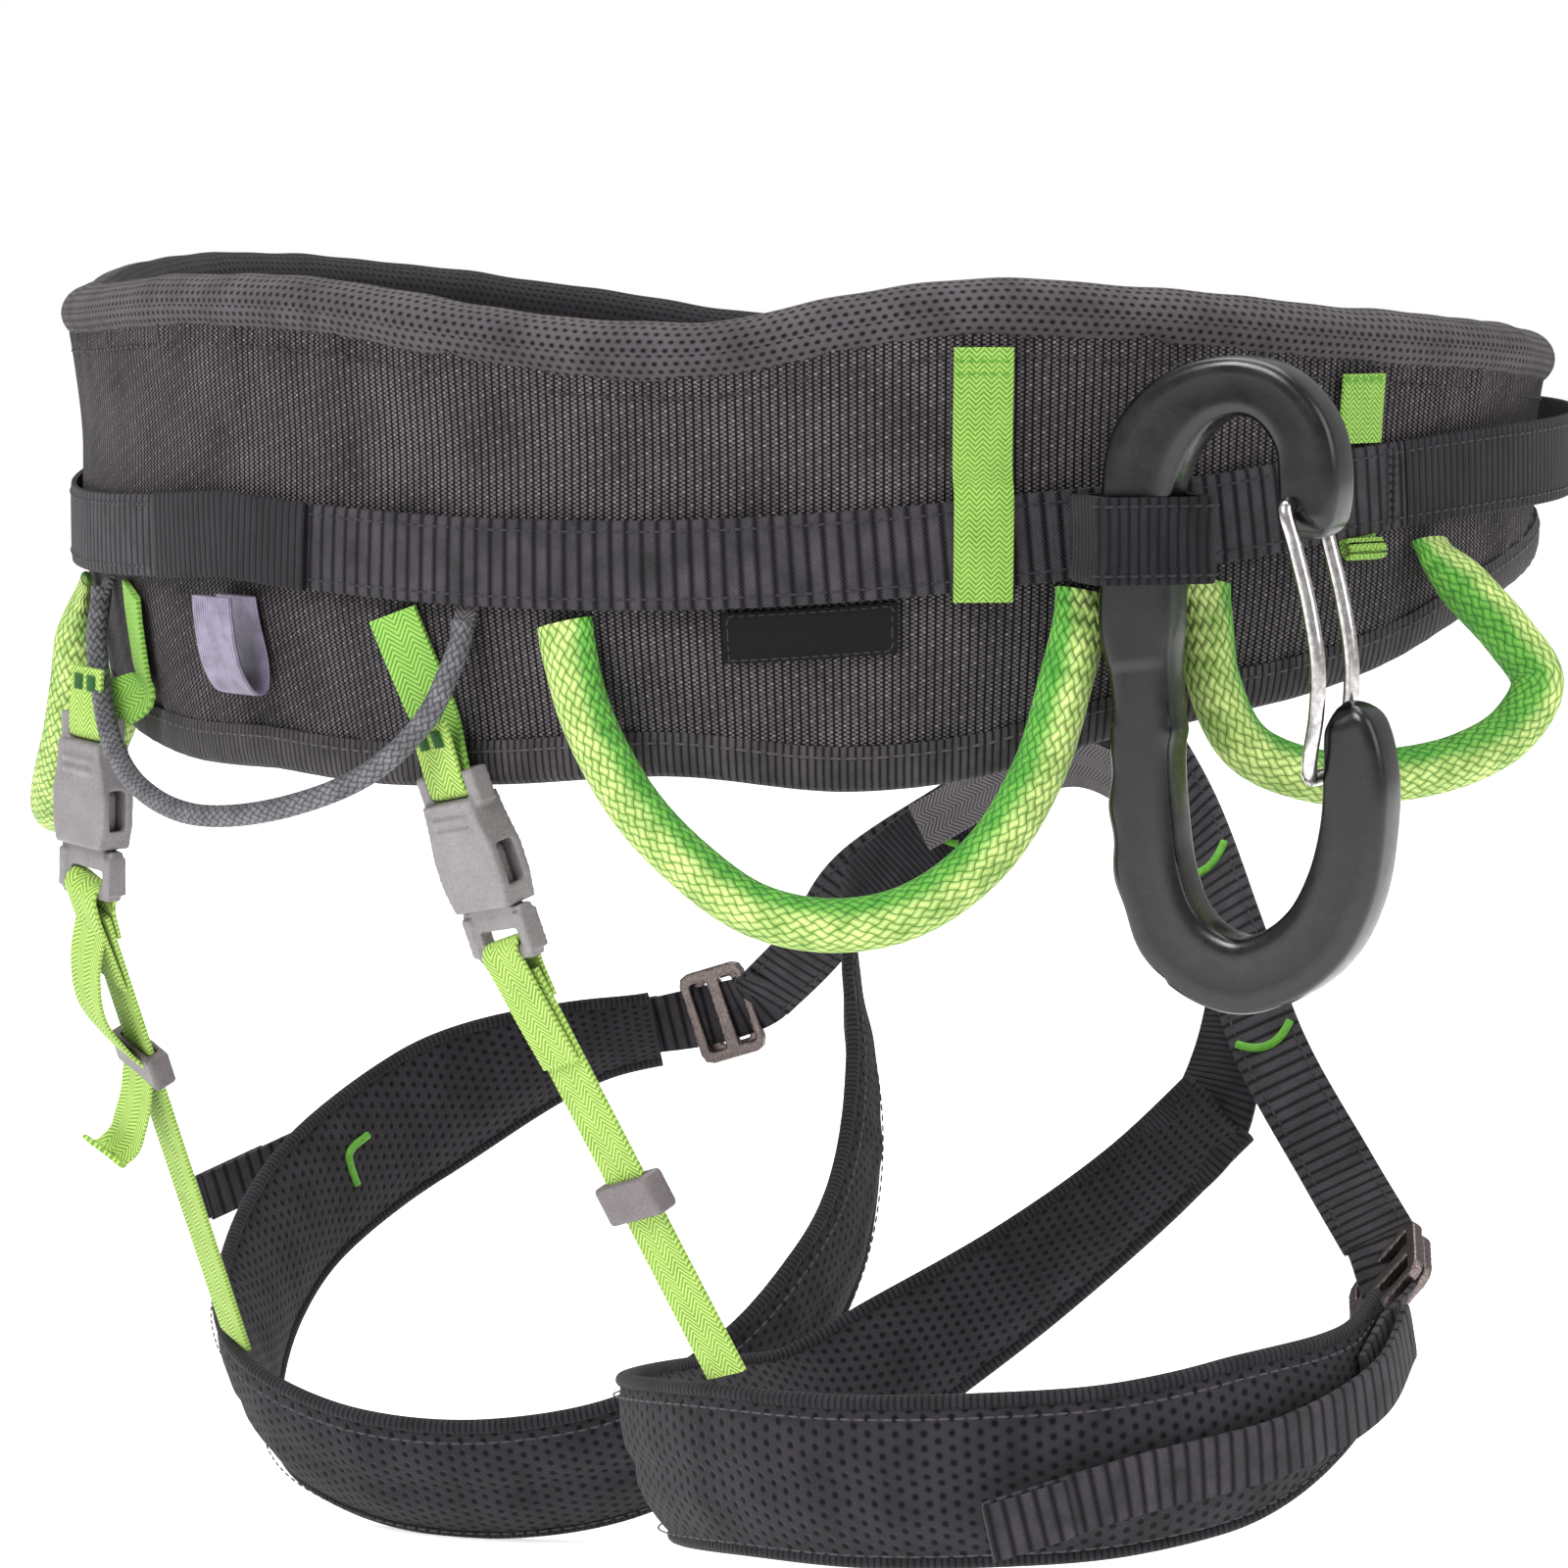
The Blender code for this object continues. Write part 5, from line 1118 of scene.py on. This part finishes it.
def leg_loop(side):
    """Crowned mesh pad with a taped edge, and the ribbed webbing that carries it at the front."""
    data = LEGS[side]
    centre = np.array(data["centre"], float)
    count = 260
    path = smooth_path(data["pad"], count)
    s = np.linspace(0, 1, count)
    run = lengths(path)
    wide = PAD_WIDE * (0.55 + 0.45 * ease(s / 0.14) * ease((1 - s) / 0.42)) - 2.4
    thick = PAD_THICK * (0.45 + 0.55 * ease(s / 0.08) * ease((1 - s) / 0.14))
    a = np.linspace(0, TAU, 44, endpoint=False)
    x = np.sign(np.cos(a)) * np.abs(np.cos(a)) ** 0.75
    crown = np.sin(a) * (1 - 0.45 * np.abs(x) ** 2.5)
    channel = 1.0 - 0.22 * np.exp(-(x / 0.10) ** 2) * (np.sin(a) > 0)
    _, across, outward = frames(path, path - centre)
    plump = 1.0 + ripple((0.05, run, 31.0, 0.0), (0.04, run, 17.0, 1.3))
    grid = path[:, None] + across[:, None] * (x * (wide / 2)[:, None])[..., None]
    grid = grid + outward[:, None] * (crown * channel * (thick / 2 * plump)[:, None])[..., None]
    turn = np.append(x, x[0]) * PAD_WIDE / 2
    pad = surface(f"mesh_pad_{side}", grid, np.stack(np.meshgrid(turn, run), -1), "pad", (f"leg_pad_{side}",))
    for edge, sign in (("upper", 1), ("lower", -1)):
        line = path + across * (sign * wide / 2)[:, None]
        oval = np.stack([np.full(count, 0.75), 0.55 + 0.25 * ease(s / 0.1) * ease((1 - s) / 0.1)], 1)
        tube(f"pad_edging_{edge}_{side}", line, outward, 2.3, "edging", body="harness", sides=14, scale=oval)
        sewn = path + across * (sign * (wide / 2 - 2.6))[:, None] + outward * (thick * 0.36)[:, None]
        line = [(sewn[4:-4], outward[4:-4])]
        stitches(f"pad_stitching_{edge}_{side}", line, "pale_thread", pitch=3.2, wide=0.5)
    web_path = smooth_path(data["web"], 130)
    facing = spread(data["facing"], 130)
    node = f"leg_webbing_{side}"
    tape(f"leg_tape_{side}", web_path, facing, LEG_WEB_WIDE, 2.0, "webbing", (node,), columns=13)
    outward_pad, across_pad = outward, across
    _, across, outward = frames(web_path, facing)
    lines = [(web_path + across * x + outward * face, outward * face)
             for x in (-6.6, 6.6) for face in (-1.0, 1.0)]
    stitches(f"leg_tape_stitching_{side}", lines, "thread", pitch=3.0)
    join = web_path[{"right": 62, "left": 34}[side]]
    tab = smooth_path([path[-16] + outward_pad[-16] * 0.5, path[-4], (path[-1] + join) / 2, join], 50)
    turned = spread([outward_pad[-16], outward_pad[-2], facing[60], facing[60]], 50)
    taper = np.linspace(24.0, 17.0, 50)
    tape(f"pad_tab_{side}", tab, turned, taper, 2.2, "edging", body="harness", columns=11)
    if side == "left":
        k = int(0.2 * count)
        corner = np.array([(-7.0, -9.0), (-7.0, -2.0), (-6.0, 0.0), (-3.5, 0.6), (3.0, 0.6)])
        forward = unit(np.gradient(path, axis=0))[k]
        spot = path[k] + across_pad[k] * corner[:, :1] + forward * corner[:, 1:]
        spot = smooth_path(spot - outward_pad[k] * (thick[k] / 2 + 0.4), 40)
        facing_out = np.tile(outward_pad[k], (40, 1))
        tube("corner_tack_left", spot, facing_out, 1.1, "green_thread", body="harness", sides=8)
    for mark, k in data["arcs"]:
        bend = np.linspace(-1, 1, 12)
        bow = np.cross(outward[k], across[k]) * (4.0 * (1 - bend ** 2))[:, None]
        spot = smooth_path(web_path[k] + across[k] * (bend * 7.0)[:, None] + bow - outward[k] * 1.3, 24)
        facing_out = np.tile(outward[k], (24, 1))
        tube(f"tack_arc_{mark}_{side}", spot, facing_out, 1.1, "green_thread", body="harness", sides=8)


def leg_buckle(side):
    """Double-back buckle in metal, and the webbing's free tail beyond it."""
    data = LEGS[side]
    moulding(f"buckle_frame_{side}", f"leg_buckle_frame_{side}", "alloy", voxel=0.4, rounds=3)
    moulding(f"buckle_plate_{side}", f"leg_buckle_plate_{side}", "alloy", voxel=0.4, rounds=3)
    pad = np.array(data["pad"][:4], float)
    middle, before = np.array(data["buckle"], float), np.array(data["web"][-2:], float)
    centre = np.array(data["centre"], float)
    out = unit(data["buckle_face"])
    away = unit(pad - centre)
    through = smooth_path([before[0] * 0.3 + before[1] * 0.7, before[1] + out * 0.4, middle + out * 2.1,
                           pad[0] + away[0] * 2.6, pad[1] + away[1] * 5.2], 90)
    facing = spread([data["facing"][-1], data["facing"][-1], out, away[0], away[1]], 90)
    tape(f"buckle_webbing_{side}", through, facing, 16.6, 1.8, "webbing", body="harness", columns=13)
    tail = [point + aside * lift for lift, point, aside in zip((6.6, 8.4, 8.6, 9.0), pad, away)]
    tail = smooth_path([*tail, data["tail_end"]], 90)
    outward = tail - data["centre"]
    tape(f"free_tail_{side}", tail, outward, TAIL_WIDE, 1.8, "webbing", (f"leg_tail_{side}",))
    hem = tail[-14:] + unit(tail[-14:] - data["centre"]) * 1.5
    tape(f"tail_hem_{side}", hem, hem - data["centre"], TAIL_WIDE - 0.4, 1.4, "webbing", body="harness")


# ---- front ----------------------------------------------------------------------------


def ring_strap(name, middle, node):
    """Closed webbing ring, an upright oval, with a tack across its front."""
    a = np.linspace(0, TAU, 120, endpoint=False)
    flat = np.stack([0 * a, np.sin(a), np.cos(a)], 1)
    path = middle + flat * (1, RING_DEEP, RING_TALL)
    outward = flat * (1, RING_TALL, RING_DEEP)
    tape(name, path, outward, RING_WIDE, RING_THICK, "plain_web", (node,), loop=True, columns=13)
    front_face = path[90] + np.array([0, -RING_THICK * 0.5, 0])
    bar_tack(name + "_tack", front_face, (0, 0, 1), (0, -1, 0), 8.0, RING_WIDE * 0.8, "dark_green_thread")


def front():
    """Tie-in rings, leg bridge, belay ring, cross strap and the waist buckle."""
    across = np.array([1.0, 0.0, 0.0])
    strap = ring(np.array([180.0]), np.array([8.8]), web(180.0))[0]
    ring_strap("waist_ring", strap + (0.0, 0.0, -5.0), "waist_tie_in_loop")
    ring_strap("leg_ring", TIE_IN + (0.0, 0.0, 5.0), "leg_tie_in_loop")
    bridge = TIE_IN + across * np.linspace(-8.3, 8.3, 20)[:, None]
    forward = np.tile((0.0, -1.0, 0.0), (20, 1))
    tape("bridge_tape", bridge, forward, LEG_WEB_WIDE, 2.0, "webbing", ("leg_bridge",))
    high = strap + (0.0, -2.0, -16.8)
    low = TIE_IN + (0.0, 2.0, 16.8)
    middle, span = (high + low) / 2, high - low
    a = np.linspace(0, TAU, 150, endpoint=False)
    path = middle + np.cos(a)[:, None] * span / 2 + np.sin(a)[:, None] * across * BELAY_HALF
    tape("belay_ring", path, path - middle, BELAY_WIDE, BELAY_THICK, "plain_web", ("belay_loop",), loop=True,
         columns=11)
    cross = smooth_path(CROSS_STRAP, 90)
    facing = np.tile((0.0, -1.0, 0.2), (90, 1))
    tape("cross_strap", cross, facing, 13.0, 1.6, "grey_strap", ("leg_cross_strap",))
    moulding("waist_frame", "waist_buckle_frame", "alloy", voxel=0.4, rounds=3)
    moulding("waist_plate", "waist_buckle_plate", "alloy", voxel=0.4, rounds=3)


# ---- floor, light and camera ------------------------------------------------------------


def studio():
    """Pale floor, a wide soft light overhead and one on each side, and the camera."""
    floor_z = CAD_LOW[2] - 0.0005
    mesh = bpy.data.meshes.new("floor")
    corners = [(-6.0, -6.0, floor_z), (6.0, -6.0, floor_z), (6.0, 6.0, floor_z), (-6.0, 6.0, floor_z)]
    mesh.from_pydata(corners, [], [(0, 1, 2, 3)])
    floor = bpy.data.objects.new("floor", mesh)
    bpy.context.collection.objects.link(floor)
    paper = bpy.data.materials.new("pale_paper")
    paper.use_nodes = True
    finish = paper.node_tree.nodes["Principled BSDF"].inputs
    finish["Base Color"].default_value = linear("F4F4F4")
    finish["Roughness"].default_value = 0.95
    finish["Emission Color"].default_value = (1.0, 1.0, 1.0, 1.0)
    finish["Emission Strength"].default_value = 0.6
    mesh.materials.append(paper)
    bpy.context.scene.view_settings.view_transform = "Standard"
    world = bpy.data.worlds.new("studio")
    world.use_nodes = True
    sky = world.node_tree
    seen = add(sky, "LightPath").node.outputs["Is Camera Ray"]
    strength = add(sky, "MapRange", {0: seen, 3: AMBIENT, 4: 1.0})
    sky.nodes["Background"].inputs["Color"].default_value = (1.0, 1.0, 1.0, 1.0)
    sky.links.new(strength, sky.nodes["Background"].inputs["Strength"])
    bpy.context.scene.world = world
    back = np.array((-0.756, 0.646, 0.1045))
    right = np.array((-0.649, -0.760, 0.0))
    target = np.array((0.0, 0.0, -0.071))
    for name, offset, size, power in (("key_softbox", back * 1.2 - right * 1.1 + (0, 0, 1.3), 1.0, 40.0),
                                      ("fill_softbox", back * 1.0 + right * 1.6 + (0, 0, 0.9), 1.4, 16.0),
                                      ("top_softbox", back * -0.4 + (0, 0, 1.9), 1.6, 30.0)):
        data = bpy.data.lights.new(name, "AREA")
        data.shape = "SQUARE"
        data.size = size
        data.energy = power
        lamp = bpy.data.objects.new(name, data)
        lamp.location = target + offset
        lamp.rotation_euler = (-Vector(offset)).to_track_quat("-Z", "Y").to_euler()
        bpy.context.collection.objects.link(lamp)
    lens = bpy.data.cameras.new("camera")
    lens.lens = 121.1
    lens.sensor_width = 36.0
    lens.shift_x = -0.00625
    camera = bpy.data.objects.new("camera", lens)
    camera.location = target + back * 1.3
    camera.rotation_euler = (-Vector(back)).to_track_quat("-Z", "Y").to_euler()
    bpy.context.collection.objects.link(camera)
    bpy.context.scene.camera = camera


studio()
waist_belt()
waist_straps()
keepers()
label_and_tab()
gear_loops()
haul_cord()
tool_sleeve()
tool_holder()
for hand in ("right", "left"):
    riser_webbing(hand)
    riser_buckle(hand)
    riser_elastic(hand)
    leg_loop(hand)
    leg_buckle(hand)
front()
